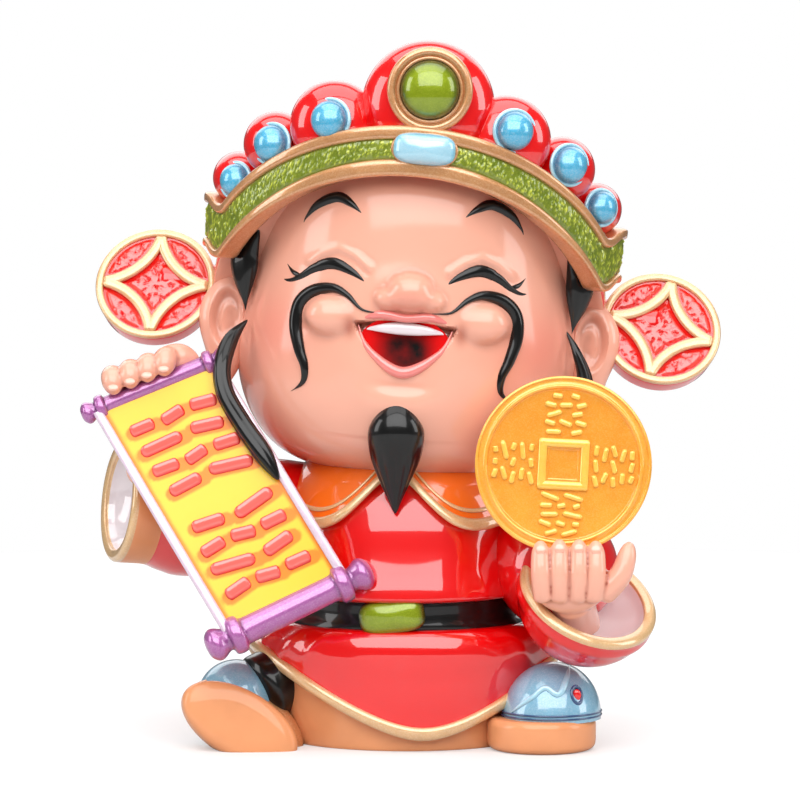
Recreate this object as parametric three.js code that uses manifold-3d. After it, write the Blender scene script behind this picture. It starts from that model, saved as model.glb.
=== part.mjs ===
// A laughing god-of-wealth figure in glossy painted resin: a big-headed man in an official's hat
// with two coin-shaped wings, who holds up a scroll in his right hand and a coin in his left.
// It is one casting with a flat underside. Millimetres, X to the viewer's right, -Y towards the
// viewer, Z up, with the origin in the middle of the underside.

import * as THREE from "three";
import { mergeVertices } from "three/addons/utils/BufferGeometryUtils.js";
import Module from "manifold-3d";

const wasm = await Module();
wasm.setup();

const HEIGHT = 160;
const u = HEIGHT / 100; // one hundredth of the height: the figure's pose and carving are shares of it

// What the figure holds and wears.
const COIN_RADIUS = 12.3 * u;
const COIN_THICKNESS = 2.4 * u;
const COIN_RIM = 1.3 * u;
const COIN_HOLE = 4.6 * u;
const COIN_GRIP = 2.2 * u; // how far the fingers reach over its lower edge
const SCROLL_WIDTH = 19.4 * u;
const SCROLL_THICKNESS = 1.5 * u;
const SCROLL_BORDER = 1.4 * u;
const COLLAR_INSET = 1.5 * u; // from the sheet's edge in to the collars of its rods
const TOP_ROD_RADIUS = 1.3 * u;
const BOTTOM_ROD_RADIUS = 1.95 * u;
const WING_RADIUS = 8.7 * u;
const WING_THICKNESS = 3.4 * u;
const WING_RIM = 1.1 * u;
const WING_RECESS = 0.7 * u;
const WING_STRAP = 1.5 * u;
const WING_TUCK = 0.5 * u; // how far a wing's edge goes in behind the hat's side
const STROKE_HEIGHT = 0.5 * u;
const STROKE_WIDTH = 0.75 * u;
const BELT_LOW = 17.3 * u;
const BELT_HEIGHT = 3.6 * u;
const SHOE_SOLE = 4.6 * u;

// The head, measured from its chin. It leans to the viewer's right. Angles are in degrees.
const CHIN_HEIGHT = 39 * u;
const HEAD_LEAN = 4;
const HEAD_TURN = -2;
const HEAD_HALF_WIDTH = 23.4 * u;
const HEAD_HALF_DEPTH = 21 * u;
const HEAD_MIDDLE = 24 * u;
const HEAD_ABOVE = 24 * u; // from the middle to the crown
const HEAD_BELOW = 25.2 * u; // from the middle to the underside of the jaw
const JAW_SQUARENESS = 3.6;
const BROW_SQUARENESS = 3.6;
const JOWL_HEIGHT = 14 * u;
const JOWL_SPREAD = 9 * u;

const rad = THREE.MathUtils.degToRad;
const { clamp, lerp, smoothstep } = THREE.MathUtils;
const point = (x, y, z) => new THREE.Vector3(x * u, y * u, z * u);
const matrix = () => new THREE.Matrix4();
const FORWARD = new THREE.Vector3(0, -1, 0);
const RIGHT = new THREE.Vector3(1, 0, 0);
const UP = new THREE.Vector3(0, 0, 1);

const headFrame = matrix()
  .makeTranslation(0, 0, CHIN_HEIGHT)
  .multiply(matrix().makeRotationY(rad(HEAD_LEAN)))
  .multiply(matrix().makeRotationZ(rad(HEAD_TURN)));

// The hat sits a little more to that side than the head does.
const HAT_PIVOT = 45 * u;
const HAT_LEAN = 1;
const hatTip = matrix()
  .makeTranslation(0, 0, HAT_PIVOT)
  .multiply(matrix().makeRotationY(rad(HAT_LEAN)))
  .multiply(matrix().makeTranslation(0, 0, -HAT_PIVOT));

const bothSides = (make) => [-1, 1].flatMap((side) => make(side));

// Turns a geometry into a solid for joining and cutting, and a solid back into a geometry.
function solid(geometry) {
  geometry.deleteAttribute("normal");
  geometry.deleteAttribute("uv");
  const merged = mergeVertices(geometry, 1e-4 * u);
  return new wasm.Manifold(
    new wasm.Mesh({
      numProp: 3,
      vertProperties: merged.getAttribute("position").array,
      triVerts: new Uint32Array(merged.index.array),
    }),
  );
}

function geometryOf(whole) {
  const { vertProperties, triVerts } = whole.getMesh();
  return new THREE.BufferGeometry()
    .setAttribute("position", new THREE.BufferAttribute(vertProperties, 3))
    .setIndex(new THREE.BufferAttribute(triVerts, 1));
}

const fused = (geometries) => geometries.map(solid).reduce((whole, piece) => whole.add(piece));

// Moves every vertex of a geometry to where place(vertex) says.
function moved(geometry, place) {
  const position = geometry.getAttribute("position");
  const vertex = new THREE.Vector3();
  for (let i = 0; i < position.count; i += 1) {
    const to = place(vertex.fromBufferAttribute(position, i));
    position.setXYZ(i, to.x, to.y, to.z);
  }
  return geometry;
}

// The value at t, from 0 to 1, of a list of evenly spaced values.
function along(values, t) {
  const at = clamp(t, 0, 1) * (values.length - 1);
  const i = Math.min(Math.floor(at), values.length - 2);
  return lerp(values[i], values[i + 1], at - i);
}

// The value at a place on a list of [place, value] pairs, which runs upwards.
function looked(table, place) {
  const at = clamp(place, table[0][0], table.at(-1)[0]);
  const i = Math.max(1, table.findIndex(([end]) => end >= at));
  const [from, a] = table[i - 1];
  const [to, b] = table[i];
  return lerp(a, b, (at - from) / (to - from));
}

function ball(centre, radii, [sides, rings], turn = [0, 0, 0]) {
  return new THREE.SphereGeometry(1, sides, rings)
    .scale(radii[0] * u, radii[1] * u, radii[2] * u)
    .applyMatrix4(matrix().makeRotationFromEuler(new THREE.Euler(...turn)))
    .translate(centre.x, centre.y, centre.z);
}

// A solid turned about the direction in which it faces, from [radius, height] pairs in hundredths,
// which run from its foot to its top.
function turned(centre, outline, sides, facing = FORWARD) {
  const places = outline.map(([r, h]) => new THREE.Vector2(r * u, h * u));
  return new THREE.LatheGeometry(places, sides)
    .applyQuaternion(new THREE.Quaternion().setFromUnitVectors(new THREE.Vector3(0, 1, 0), facing))
    .translate(centre.x, centre.y, centre.z);
}

// A dome that bulges out of a surface, with a slight back.
function dome(centre, radius, rise, sides, back) {
  return turned(centre, [[0, -back * rise], [radius, 0], [0.78 * radius, 0.63 * rise], [0, rise]], sides);
}

// A ball drawn out along a smooth line: strands, fingers, arms and beads. half lists its half
// widths in hundredths, flat is its depth over its width, and round is the share of the length
// that rounds off at each end, where 0 is a flat end.
function strand(points, half, [sides, steps], { flat = 1, out = FORWARD, round = [0.5, 0.5] } = {}) {
  const curve = new THREE.CatmullRomCurve3(points);
  const spaced = (share) => 0.5 * share + 0.25 * (1 - Math.cos(Math.PI * share)); // closer at the ends
  const first = round[0] ? 0 : spaced(1 / steps);
  const last = round[1] ? 1 : spaced(1 - 1 / steps);
  return moved(new THREE.SphereGeometry(1, sides, steps), (v) => {
    const share = Math.acos(clamp(v.y, -1, 1)) / Math.PI;
    const t = clamp((spaced(share) - first) / (last - first), 0, 1);
    const reach = t < 0.5 ? t / (round[0] || 1e-9) : (1 - t) / (round[1] || 1e-9);
    const open = t < 0.5 ? !round[0] : !round[1];
    const pole = Math.abs(v.y) > 1 - 1e-9;
    const rounded = open ? 1 : Math.sqrt(1 - (1 - Math.min(reach, 1)) ** 2);
    const fullness = pole ? 0 : rounded;
    const width = along(half, t) * u * fullness;
    const tangent = curve.getTangentAt(t);
    const side = new THREE.Vector3().crossVectors(out, tangent).normalize();
    const outward = new THREE.Vector3().crossVectors(tangent, side);
    const ring = Math.hypot(v.x, v.z) || 1;
    return curve
      .getPointAt(t)
      .addScaledVector(side, (v.x / ring) * width)
      .addScaledVector(outward, (v.z / ring) * width * flat);
  });
}

// A closed pile of rings, where each row gives a point of its ring at an angle from the front.
function pile(rows, sides) {
  return moved(new THREE.CylinderGeometry(1, 1, 1, sides, rows.length - 1), (v) => {
    const row = rows[Math.round((0.5 - v.y) * (rows.length - 1))];
    if (Math.hypot(v.x, v.z) > 1e-6) return row(Math.atan2(v.x, v.z));
    const ring = [0, 1, 2, 3].map((quarter) => row((quarter * Math.PI) / 2));
    return ring.reduce((sum, corner) => sum.add(corner), new THREE.Vector3()).divideScalar(4);
  });
}

// Half width and half depth of the skull at height z over the chin, as shares of their largest.
function skullShare(z) {
  const off = clamp((z - HEAD_MIDDLE) / (z < HEAD_MIDDLE ? HEAD_BELOW : HEAD_ABOVE), -1, 1);
  const power = off < 0 ? JAW_SQUARENESS : BROW_SQUARENESS;
  return (1 - Math.abs(off) ** power) ** (1 / power);
}

// The cheeks are broader than the forehead.
function jowl(z) {
  const cheek = Math.exp(-(((z - JOWL_HEIGHT) / JOWL_SPREAD) ** 2));
  return 1 + 0.05 * cheek - 0.06 * smoothstep(z / u, 18, 34);
}

// The point of the face at x and z, in hundredths, raised by lift.
function onFace(x, z, lift = 0) {
  const across = (x * u) / (HEAD_HALF_WIDTH * jowl(z * u));
  const depth = Math.sqrt(Math.max(0, skullShare(z * u) ** 2 - across ** 2)) * HEAD_HALF_DEPTH;
  return new THREE.Vector3(x * u, -depth - lift * u, z * u);
}

function skull() {
  return moved(new THREE.SphereGeometry(1, 22, 12), (v) => {
    const angle = Math.atan2(v.x, v.z);
    const z = HEAD_MIDDLE + v.y * (v.y < 0 ? HEAD_BELOW : HEAD_ABOVE);
    const share = Math.hypot(v.x, v.z) < 1e-6 ? 0 : skullShare(z);
    const across = Math.sin(angle) * HEAD_HALF_WIDTH * jowl(z);
    return new THREE.Vector3(across * share, -Math.cos(angle) * share * HEAD_HALF_DEPTH, z);
  });
}

function nose() {
  const wings = bothSides((side) => [ball(onFace(side * 2.6, 24.9, 0.5), [1.9, 1.9, 1.6], [6, 4])]);
  return [ball(onFace(0.3, 25.9, 0.9), [2.7, 2.6, 2.3], [8, 5]), ...wings];
}

function appleCheeks() {
  return bothSides((side) => [ball(onFace(side * 10.3, 22.3, -0.7), [4.3, 2.6, 3.2], [8, 5])]);
}

const UPPER_LIP = [[-6.9, 21.6], [-3.5, 22.6], [0, 22.3], [3.5, 22.6], [6.9, 21.6]];
const LOWER_LIP = [[-6.6, 21], [-4.4, 17], [0, 14.9], [4.4, 17], [6.6, 21]];

function lips() {
  const lip = (line, half) => strand(line.map(([x, z]) => onFace(x, z, 0.1)), half, [4, 6]);
  return [lip(UPPER_LIP, [0.5, 0.8, 0.7, 0.8, 0.5]), lip(LOWER_LIP, [0.5, 0.8, 1, 0.8, 0.5])];
}

// The open mouth, cut into the face.
const mouthHollow = () => ball(onFace(0, 18.9, -0.2), [5.2, 2.8, 3], [9, 5]);

const BROW = [[6.9, 37.5], [8.8, 39], [10.8, 39.6], [13.3, 38.3], [15.4, 35.5]];
const EYE = [[5.7, 27.5], [7.7, 29], [10.1, 29.9], [12.4, 29], [14.2, 27.6], [15.8, 26.9], [17.4, 27.4]];
const MOUSTACHE = [
  [3.5, 23.6], [6.2, 23.9], [8.4, 25.7], [10.5, 26.5], [13.1, 25.9], [14.9, 24],
  [15.4, 21], [14.7, 17.7], [13.8, 15.2], [13.9, 13], [15.6, 11.4],
];

// Brows, closed eyes and moustache: lines that stand out from the skin.
function faceLines() {
  const line = (side, places, half, steps, lift) =>
    strand(places.map(([x, z]) => onFace(side * x, z, lift)), half, [4, steps]);
  return bothSides((side) => [
    line(side, BROW, [0.3, 0.6, 0.7, 0.6, 0.3], 5, 0),
    line(side, EYE, [0.3, 0.7, 0.8, 0.75, 0.65, 0.5, 0.3], 7, 0),
    line(side, MOUSTACHE, [0.3, 0.5, 0.7, 0.85, 0.9, 1, 1, 1, 1, 0.8, 0.3], 10, 0.3),
  ]);
}

function goatee() {
  const spine = [
    onFace(-0.3, 10.9, -0.8), onFace(-0.3, 7.3, 0.4), point(-0.2, -18.6, 3), point(0, -17.4, -1.5),
    point(0.3, -16.8, -5.4),
  ];
  return strand(spine, [2.6, 3.9, 3.6, 2.2, 0.4], [8, 6], { flat: 0.75, round: [0.3, 0.02] });
}

function ears() {
  return bothSides((side) => {
    const spine = [
      point(side * 24.6, -1.5, 26.6), point(side * 26.5, -2.5, 21), point(side * 26, -3, 14),
      point(side * 27.2, -4, 8.6),
    ];
    return [strand(spine, [2.6, 3.7, 2.9, 2.2], [8, 6], { flat: 0.62 })];
  });
}

const earHollows = () => bothSides((side) => [ball(point(side * 26, -5.7, 19.4), [1.7, 1.9, 3], [6, 4])]);

// Side whiskers in front of the ears, and the hair under the hat behind.
function hair() {
  const whiskers = bothSides((side) => {
    const spine = [point(side * 21.4, -9.4, 33), point(side * 23.2, -8, 28.6), point(side * 22.6, -8.2, 21)];
    const out = new THREE.Vector3(side * 0.6, -0.8, 0);
    return [strand(spine, [1.6, 2.2, 0.3], [4, 4], { out, flat: 0.5, round: [0.3, 0.05] })];
  });
  return [ball(point(0, 5, 16), [22.6, 17.6, 14], [12, 5]), ...whiskers];
}

// The hat's lower edge: high over the forehead, down past the ears and round the nape.
const HAT_EDGE = [
  [0, 45.5], [15, 44.7], [30, 42.3], [45, 38.6], [60, 33.7], [75, 28], [90, 23], [120, 16.5], [150, 13],
  [180, 12],
];
const HAT_HALF_WIDTH = 28.2 * u;
const HAT_FRONT = 22 * u;
const HAT_BACK = 24 * u;
const HAT_TOP = 53 * u;
const HAT_CORE = 34 * u;

function hatRing(angle, out = 0) {
  const depth = Math.cos(angle) > 0 ? HAT_FRONT : HAT_BACK;
  const height = looked(HAT_EDGE, Math.abs(THREE.MathUtils.radToDeg(angle))) * u;
  const across = Math.sin(angle) * (HAT_HALF_WIDTH + out);
  return new THREE.Vector3(across, -Math.cos(angle) * (depth + out), height);
}

function hatDome() {
  const ring = (reach, rise) => (angle) => {
    const rim = hatRing(angle);
    return new THREE.Vector3(rim.x * reach, rim.y * reach, lerp(rim.z, HAT_TOP, rise));
  };
  const rings = [10, 33, 55, 75].map((degrees) => ring(Math.sin(rad(degrees)), Math.cos(rad(degrees))));
  return pile([...rings, ring(1, 0), ring(0.7, 0)], 18);
}

// The band over the forehead: a strip with a raised edge along its top and foot, and turned-up ends.
const BAND_END = 84;
const BAND_THICKNESS = 2.6 * u;
const BAND_EDGE = 0.6 * u;
const BAND_TURN_UP = 64;
const BAND_SECTION = [[0.3, 1], [0.36, 0], [0.68, 0], [0.74, 1]]; // share up from its foot, and how raised
const bandTurnUp = (degrees) => smoothstep(Math.abs(degrees), BAND_TURN_UP, BAND_END);
const bandDrop = (degrees) => 1 - Math.cos(rad(degrees));
const bandTop = (degrees) => (49.1 - 23 * bandDrop(degrees) + 7.6 * bandTurnUp(degrees)) * u;
const bandFoot = (degrees) => (42 - 24 * bandDrop(degrees) + 8 * bandTurnUp(degrees)) * u;

// A point of the band: degrees round from the front, share up from its foot, and out from the hat.
function onBand(degrees, share, out) {
  const flare = 0.6 * u * bandTurnUp(degrees) * (0.4 + 0.6 * share);
  const place = hatRing(rad(degrees), out + flare);
  place.z = lerp(bandFoot(degrees), bandTop(degrees), share);
  return place;
}

function hatBand() {
  const half = BAND_THICKNESS / 2;
  const edge = half + BAND_EDGE;
  const section = new THREE.Shape([
    new THREE.Vector2(-half, 0),
    new THREE.Vector2(edge, 0),
    ...BAND_SECTION.map(([share, raised]) => new THREE.Vector2(half + raised * BAND_EDGE, share)),
    new THREE.Vector2(edge, 1),
    new THREE.Vector2(-half, 1),
  ]);
  const strip = new THREE.ExtrudeGeometry(section, { depth: 2 * BAND_END, steps: 13, bevelEnabled: false });
  return moved(strip, (v) => onBand(BAND_END - v.z, v.y, v.x));
}

// Red lobes stand up behind the band, each with a set stone. Side lobes come in pairs.
const LOBES = [
  { x: 12, z: 48, radius: 6.3, stoneX: 13, stoneZ: 49.9, stone: 2.9 },
  { x: 20.2, z: 44.6, radius: 4.6, stoneX: 21, stoneZ: 45.8, stone: 2.8 },
  { x: 25.4, z: 39.3, radius: 3.7, stoneX: 26, stoneZ: 40.1, stone: 2.5 },
];
const LOBE_RISE = 4.4;
const STONE_OUT = 3.2;

// The depth at which the crest stands, behind the band, at x hundredths.
function crestDepth(x) {
  const across = Math.min(0.99, (x * u) / HAT_HALF_WIDTH);
  return (-Math.sqrt(1 - across ** 2) * HAT_FRONT) / u + 3.5;
}

function hatCrest() {
  const lobes = bothSides((side) =>
    LOBES.flatMap(({ x, z, radius, stoneX, stoneZ, stone }) => [
      dome(point(side * x, crestDepth(x), z), radius, LOBE_RISE, 9, 0.6),
      dome(point(side * stoneX, crestDepth(x) - STONE_OUT, stoneZ), stone, stone, 6, 0.4),
    ]),
  );
  const middle = ball(point(0.8, -17.3, 51.7), [9.4, 5.6, 9.4], [12, 6]);
  const setting = [[0, -1], [5.9, -1], [5.9, 0.5], [5, 1], [4.2, 0.5], [3, 2.8], [0, 3.6]];
  const boss = turned(point(1, -22.3, 54.2), setting, 10);
  const gem = ball(point(1, -24, 46), [4.4, 1.9, 2.1], [7, 4]);
  return [middle, ...lobes, boss, gem];
}

// A wing is a coin with a four-petalled lattice, which leans back. Its face looks along +Z.
const WING_HEIGHT = 23.05 * u; // over the chin
const WING_LEAN = 29;
const WING_TURN = 6;
const RIGHT_WING_SPIN = -8; // about its own axis
const HAT_OFF_CENTRE = -0.1 * u;

function wingFrame(side) {
  return matrix()
    .makeTranslation(side * (HAT_HALF_WIDTH - WING_TUCK + WING_RADIUS) + HAT_OFF_CENTRE, 0, WING_HEIGHT)
    .multiply(matrix().makeRotationX(rad(90 - WING_LEAN)))
    .multiply(matrix().makeRotationY(side * rad(WING_TURN)))
    .multiply(matrix().makeRotationZ(side > 0 ? rad(RIGHT_WING_SPIN) : 0));
}

const WING_INNER = WING_RADIUS - WING_RIM;
const STRAP_CENTRE = 1.25 * WING_INNER; // each strap is an arc about (STRAP_CENTRE, STRAP_CENTRE)
const STRAP_RADIUS = Math.hypot(STRAP_CENTRE, STRAP_CENTRE - WING_INNER);

// The sunk petals between the straps and the rim, and the sunk diamond in the middle.
function wingRecesses() {
  const far = Math.SQRT2 * STRAP_CENTRE;
  const petalArc = STRAP_RADIUS - WING_STRAP / 2;
  const rimHalf = Math.acos((WING_INNER ** 2 + far ** 2 - petalArc ** 2) / (2 * WING_INNER * far));
  const arcHalf = Math.acos((petalArc ** 2 + far ** 2 - WING_INNER ** 2) / (2 * petalArc * far));
  const petal = new THREE.Shape()
    .absarc(0, 0, WING_INNER, rad(45) - rimHalf, rad(45) + rimHalf, false)
    .absarc(STRAP_CENTRE, STRAP_CENTRE, petalArc, rad(225) - arcHalf, rad(225) + arcHalf, false);
  const diamondArc = STRAP_RADIUS + WING_STRAP / 2;
  const tip = STRAP_CENTRE - Math.sqrt(diamondArc ** 2 - STRAP_CENTRE ** 2);
  const half = rad(45) - Math.atan2(STRAP_CENTRE - tip, STRAP_CENTRE);
  const diamond = new THREE.Shape();
  for (let quarter = 0; quarter < 4; quarter += 1) {
    const corner = rad(45 + 90 * quarter);
    const from = corner + Math.PI + half;
    diamond.absarc(far * Math.cos(corner), far * Math.sin(corner), diamondArc, from, from - 2 * half, true);
  }
  const sunk = (shape, curveSegments) =>
    new THREE.ExtrudeGeometry(shape, { depth: 2 * WING_RECESS, bevelEnabled: false, curveSegments })
      .translate(0, 0, -WING_RECESS);
  return [...[0, 1, 2, 3].map((k) => sunk(petal, 2).rotateZ(k * rad(90))), sunk(diamond, 1)];
}

function wings() {
  const plate = new THREE.CylinderGeometry(WING_RADIUS, WING_RADIUS, WING_THICKNESS, 20)
    .rotateX(Math.PI / 2)
    .translate(0, 0, -WING_THICKNESS / 2);
  const wing = geometryOf(solid(plate).subtract(fused(wingRecesses())));
  return bothSides((side) => [
    wing.clone().applyMatrix4(wingFrame(side)),
    strand([point(side * 20, 6, 24), point(side * 37, 2.4, 23.2)], [2.8, 2.4], [6, 3], { round: [0.1, 0.1] }),
  ]);
}

// Half width, front depth and back depth of the robe, in hundredths, at heights in hundredths.
const ROBE_WIDTH = [
  [0, 18], [5, 20], [10, 21], [15, 20.8], [18, 16.6], [22, 16.4], [30, 16.4], [36, 15], [44, 9],
];
const ROBE_FRONT = [
  [0, 16.6], [5, 17.2], [10, 17.4], [15, 17.4], [18, 16], [22, 16], [30, 15.6], [36, 13.6], [44, 8],
];
const ROBE_BACK = [
  [0, 14.6], [5, 15.4], [10, 15.6], [15, 15.2], [18, 14], [22, 14], [30, 14], [36, 13], [44, 8],
];
const ROBE_MIDDLE = 0.9 * u;

function onRobe(angle, z, out = 0) {
  const depth = looked(Math.cos(angle) > 0 ? ROBE_FRONT : ROBE_BACK, z / u) * u;
  const width = looked(ROBE_WIDTH, z / u) * u;
  const across = ROBE_MIDDLE + Math.sin(angle) * (width + out);
  return new THREE.Vector3(across, -Math.cos(angle) * (depth + out), z);
}

// The skirt's hem hangs in a swag in front and rises over each foot.
const HEM_LOW = 2.6 * u;
const HEM_RISE = 11.4 * u;
const HEM_MIDDLE = rad(7);
const HEM_ROUNDING = 0.03;
function hemHeight(angle) {
  const off = angle - HEM_MIDDLE;
  const power = Math.cos(off) > 0 ? 0.8 : 2;
  const swag = (x) => (x ** 2 + HEM_ROUNDING) ** power - HEM_ROUNDING ** power;
  return HEM_LOW + (HEM_RISE * swag(Math.sin(off))) / swag(1);
}

// The yoke's edge is scalloped, and open at the throat.
const THROAT = rad(-6);
function yokeEdge(angle) {
  const off = angle - THROAT;
  return (32.6 + 6 * Math.exp(-((off / rad(19)) ** 2)) + 0.8 * Math.cos(5 * off)) * u;
}

const BELT_OUT = 0.2 * u;
const TUNIC_OUT = 1 * u;
const SKIRT_OUT = 0.8 * u;
const YOKE_OUT = 2 * u;
const TRIM_OUT = 0.8 * u;
const TRIM_HALF = 0.9 * u;

function robe() {
  const beltTop = BELT_LOW + BELT_HEIGHT;
  const trim = (edge, out) => [
    (angle) => onRobe(angle, edge(angle) + TRIM_HALF, out),
    (angle) => onRobe(angle, edge(angle) + 0.5 * TRIM_HALF, out + TRIM_OUT),
    (angle) => onRobe(angle, edge(angle) - 0.5 * TRIM_HALF, out + TRIM_OUT),
  ];
  const body = pile(
    [
      (angle) => onRobe(angle, 44 * u),
      (angle) => onRobe(angle, 41 * u, YOKE_OUT),
      ...trim(yokeEdge, YOKE_OUT),
      (angle) => onRobe(angle, yokeEdge(angle) - TRIM_HALF, TUNIC_OUT),
      (angle) => onRobe(angle, 27 * u, TUNIC_OUT),
      (angle) => onRobe(angle, beltTop + 0.4 * u, TUNIC_OUT),
      (angle) => onRobe(angle, beltTop, BELT_OUT),
      (angle) => onRobe(angle, BELT_LOW, BELT_OUT),
      (angle) => onRobe(angle, BELT_LOW - 0.6 * u, SKIRT_OUT),
      (angle) => onRobe(angle, lerp(BELT_LOW, hemHeight(angle), 0.5), SKIRT_OUT),
      ...trim(hemHeight, SKIRT_OUT),
      (angle) => onRobe(angle, hemHeight(angle) - TRIM_HALF, 0),
      (angle) => onRobe(angle, -u, 0),
    ],
    22,
  );
  return [body, ball(onRobe(rad(-7), BELT_LOW + BELT_HEIGHT / 2, 0.6 * u), [4.6, 1.9, 2.5], [8, 5])];
}

// A short raised stroke on a flat face, centred at x and y and turned by angle.
function stroke(x, y, length, angle) {
  return new THREE.BoxGeometry(length, STROKE_WIDTH, 2 * STROKE_HEIGHT).rotateZ(angle).translate(x, y, 0);
}

// The coin in the left hand faces the viewer and leans back a little. Its face is at height 0.
const COIN_FOOT = point(22.7, -23.4, 28.8);
const COIN_LEAN = 5;
const COIN_TURN = -3;
const coinFrame = matrix()
  .makeTranslation(COIN_FOOT)
  .multiply(matrix().makeRotationX(rad(90 - COIN_LEAN)))
  .multiply(matrix().makeTranslation(0, COIN_RADIUS, 0))
  .multiply(matrix().makeRotationZ(rad(COIN_TURN)));

function coin() {
  const side = COIN_HOLE / 2 + COIN_RIM / 2;
  const rows = [0, 1, 2, 3].flatMap((quarter) => {
    const turn = rad(90 * quarter);
    const bar = new THREE.BoxGeometry(COIN_HOLE + 2 * COIN_RIM, COIN_RIM, 2 * STROKE_HEIGHT)
      .translate(0, side, 0)
      .rotateZ(turn);
    const room = COIN_RADIUS - COIN_RIM - COIN_HOLE / 2 - COIN_RIM;
    const strokes = [0.25, 0.5, 0.75].map((share) => {
      const out = COIN_HOLE / 2 + COIN_RIM + share * room;
      const lying = quarter % 2 ? rad(90) : 0;
      return stroke(-out * Math.sin(turn), out * Math.cos(turn), (1.1 - 0.4 * share) * COIN_HOLE, lying);
    });
    return [bar, ...strokes];
  });
  const inner = COIN_RADIUS - COIN_RIM;
  const outline = [
    [0, -COIN_THICKNESS], [COIN_RADIUS, -COIN_THICKNESS], [COIN_RADIUS, STROKE_HEIGHT],
    [inner, STROKE_HEIGHT], [inner, 0], [0, 0],
  ].map(([r, z]) => new THREE.Vector2(r, z));
  const plate = new THREE.LatheGeometry(outline, 24).rotateX(Math.PI / 2);
  return geometryOf(fused([plate, ...rows])).applyMatrix4(coinFrame);
}

// The scroll hangs from a rod in the right hand, nearer the viewer at its foot.
const TOP_ROD = { middle: point(-34.6, -9.6, 51.2), aim: new THREE.Vector3(0.92, 0, 0.38).normalize() };
const BOTTOM_ROD = { middle: point(-15.5, -18.8, 20.4), aim: new THREE.Vector3(0.9, 0.16, 0.42).normalize() };
const SCROLL_BULGE = 1.2 * u;
const onRod = ({ middle, aim }, across) => middle.clone().addScaledVector(aim, across);

// A point of the sheet: across and up from -0.5 to 0.5 between the two rods, and out from it.
function onScroll(across, up, out) {
  const low = onRod(BOTTOM_ROD, across * SCROLL_WIDTH);
  const high = onRod(TOP_ROD, across * SCROLL_WIDTH);
  const rise = TOP_ROD.middle.clone().sub(BOTTOM_ROD.middle);
  const facing = new THREE.Vector3().crossVectors(TOP_ROD.aim, rise).normalize();
  return low.lerp(high, up + 0.5).addScaledVector(facing, out + SCROLL_BULGE * Math.cos(Math.PI * up));
}

// A turned rod with a collar and a ball at each end.
function rod(place, radius) {
  const knob = [[0, -2.6], [1.3, -2], [1.3, -1.2], [0.85, -0.6], [1.45, -0.4], [1.45, 0.4], [1, 0.5]];
  const reach = SCROLL_WIDTH / 2 - COLLAR_INSET;
  const half = knob.map(([r, y]) => new THREE.Vector2(r * radius, y * radius - reach));
  const mirrored = half.map(({ x, y }) => new THREE.Vector2(x, -y)).reverse();
  const turn = new THREE.Quaternion().setFromUnitVectors(new THREE.Vector3(0, 1, 0), place.aim);
  const { x, y, z } = place.middle;
  return new THREE.LatheGeometry([...half, ...mirrored], 7).applyQuaternion(turn).translate(x, y, z);
}

function scroll() {
  const half = SCROLL_THICKNESS / 2;
  const border = SCROLL_BORDER / SCROLL_WIDTH;
  const slab = (width, length, x, y, thick) =>
    new THREE.BoxGeometry(width, length, thick).translate(x, y, half);
  const sheet = new THREE.BoxGeometry(1, 1, SCROLL_THICKNESS, 1, 4, 1);
  const edges = bothSides((side) => [slab(border, 0.98, side * (0.5 - border / 2), 0, SCROLL_THICKNESS)]);
  const strokes = [0.28, 0.12, -0.12, -0.28].flatMap((y) =>
    [-0.24, 0, 0.24].map((x) => slab(0.17, 0.05, x, y, 2 * STROKE_HEIGHT)),
  );
  const panel = moved(geometryOf(fused([sheet, ...edges, ...strokes])), (v) => onScroll(v.x, v.y, v.z));
  return [panel, rod(TOP_ROD, TOP_ROD_RADIUS), rod(BOTTOM_ROD, BOTTOM_ROD_RADIUS)];
}

// Right arm: the sleeve hangs open to the side, and the hand rises behind the scroll's upper rod.
const cuff = (centre, ...normal) => ({ centre, normal: new THREE.Vector3(...normal).normalize() });
const RIGHT_CUFF = cuff(point(-40.2, -4.4, 34.4), -0.94, -0.31, 0.12);
const LEFT_CUFF = cuff(point(26.6, -16.6, 22.2), 0.34, -0.53, 0.77);
const behind = ({ centre, normal }, by) => centre.clone().addScaledVector(normal, -by * u);

// The fingers of the right hand, in hundredths along the rod from its middle.
const FINGERS = [-5.9, -3.6, -1.3, 1];
const FINGER_SPREAD = 0.12;

function rightHand() {
  const spine = [point(-35.6, -3.4, 36), point(-36.4, -5.4, 44), point(-36.6, -7.4, 51.6)];
  const wrist = strand(spine, [3.4, 3.2, 4.6], [7, 4], { flat: 0.6, round: [0.2, 0.3] });
  const knuckle = [point(-35, -7.6, 53.6), point(-31.4, -7.8, 54.9), point(-28.4, -8.2, 54.6)];
  const back = strand(knuckle, [2, 2.2, 1.4], [6, 3], { round: [0.3, 0.4] });
  const fingers = FINGERS.map((across, k) => {
    const over = onRod(TOP_ROD, across * u);
    const lean = FINGER_SPREAD * ((FINGERS.length - 1) / 2 - k);
    const path = [[2.2, 1.4], [0.9, 3.3], [-0.9, 3.2], [-1.8, 1]]
      .map(([y, z]) => over.clone().add(point(-lean * z, y, z)));
    return strand(path, [1.5, 1.7, 1.7, 1.45], [6, 4], { out: RIGHT, round: [0.15, 0.3] });
  });
  return [wrist, back, ...fingers];
}

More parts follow.
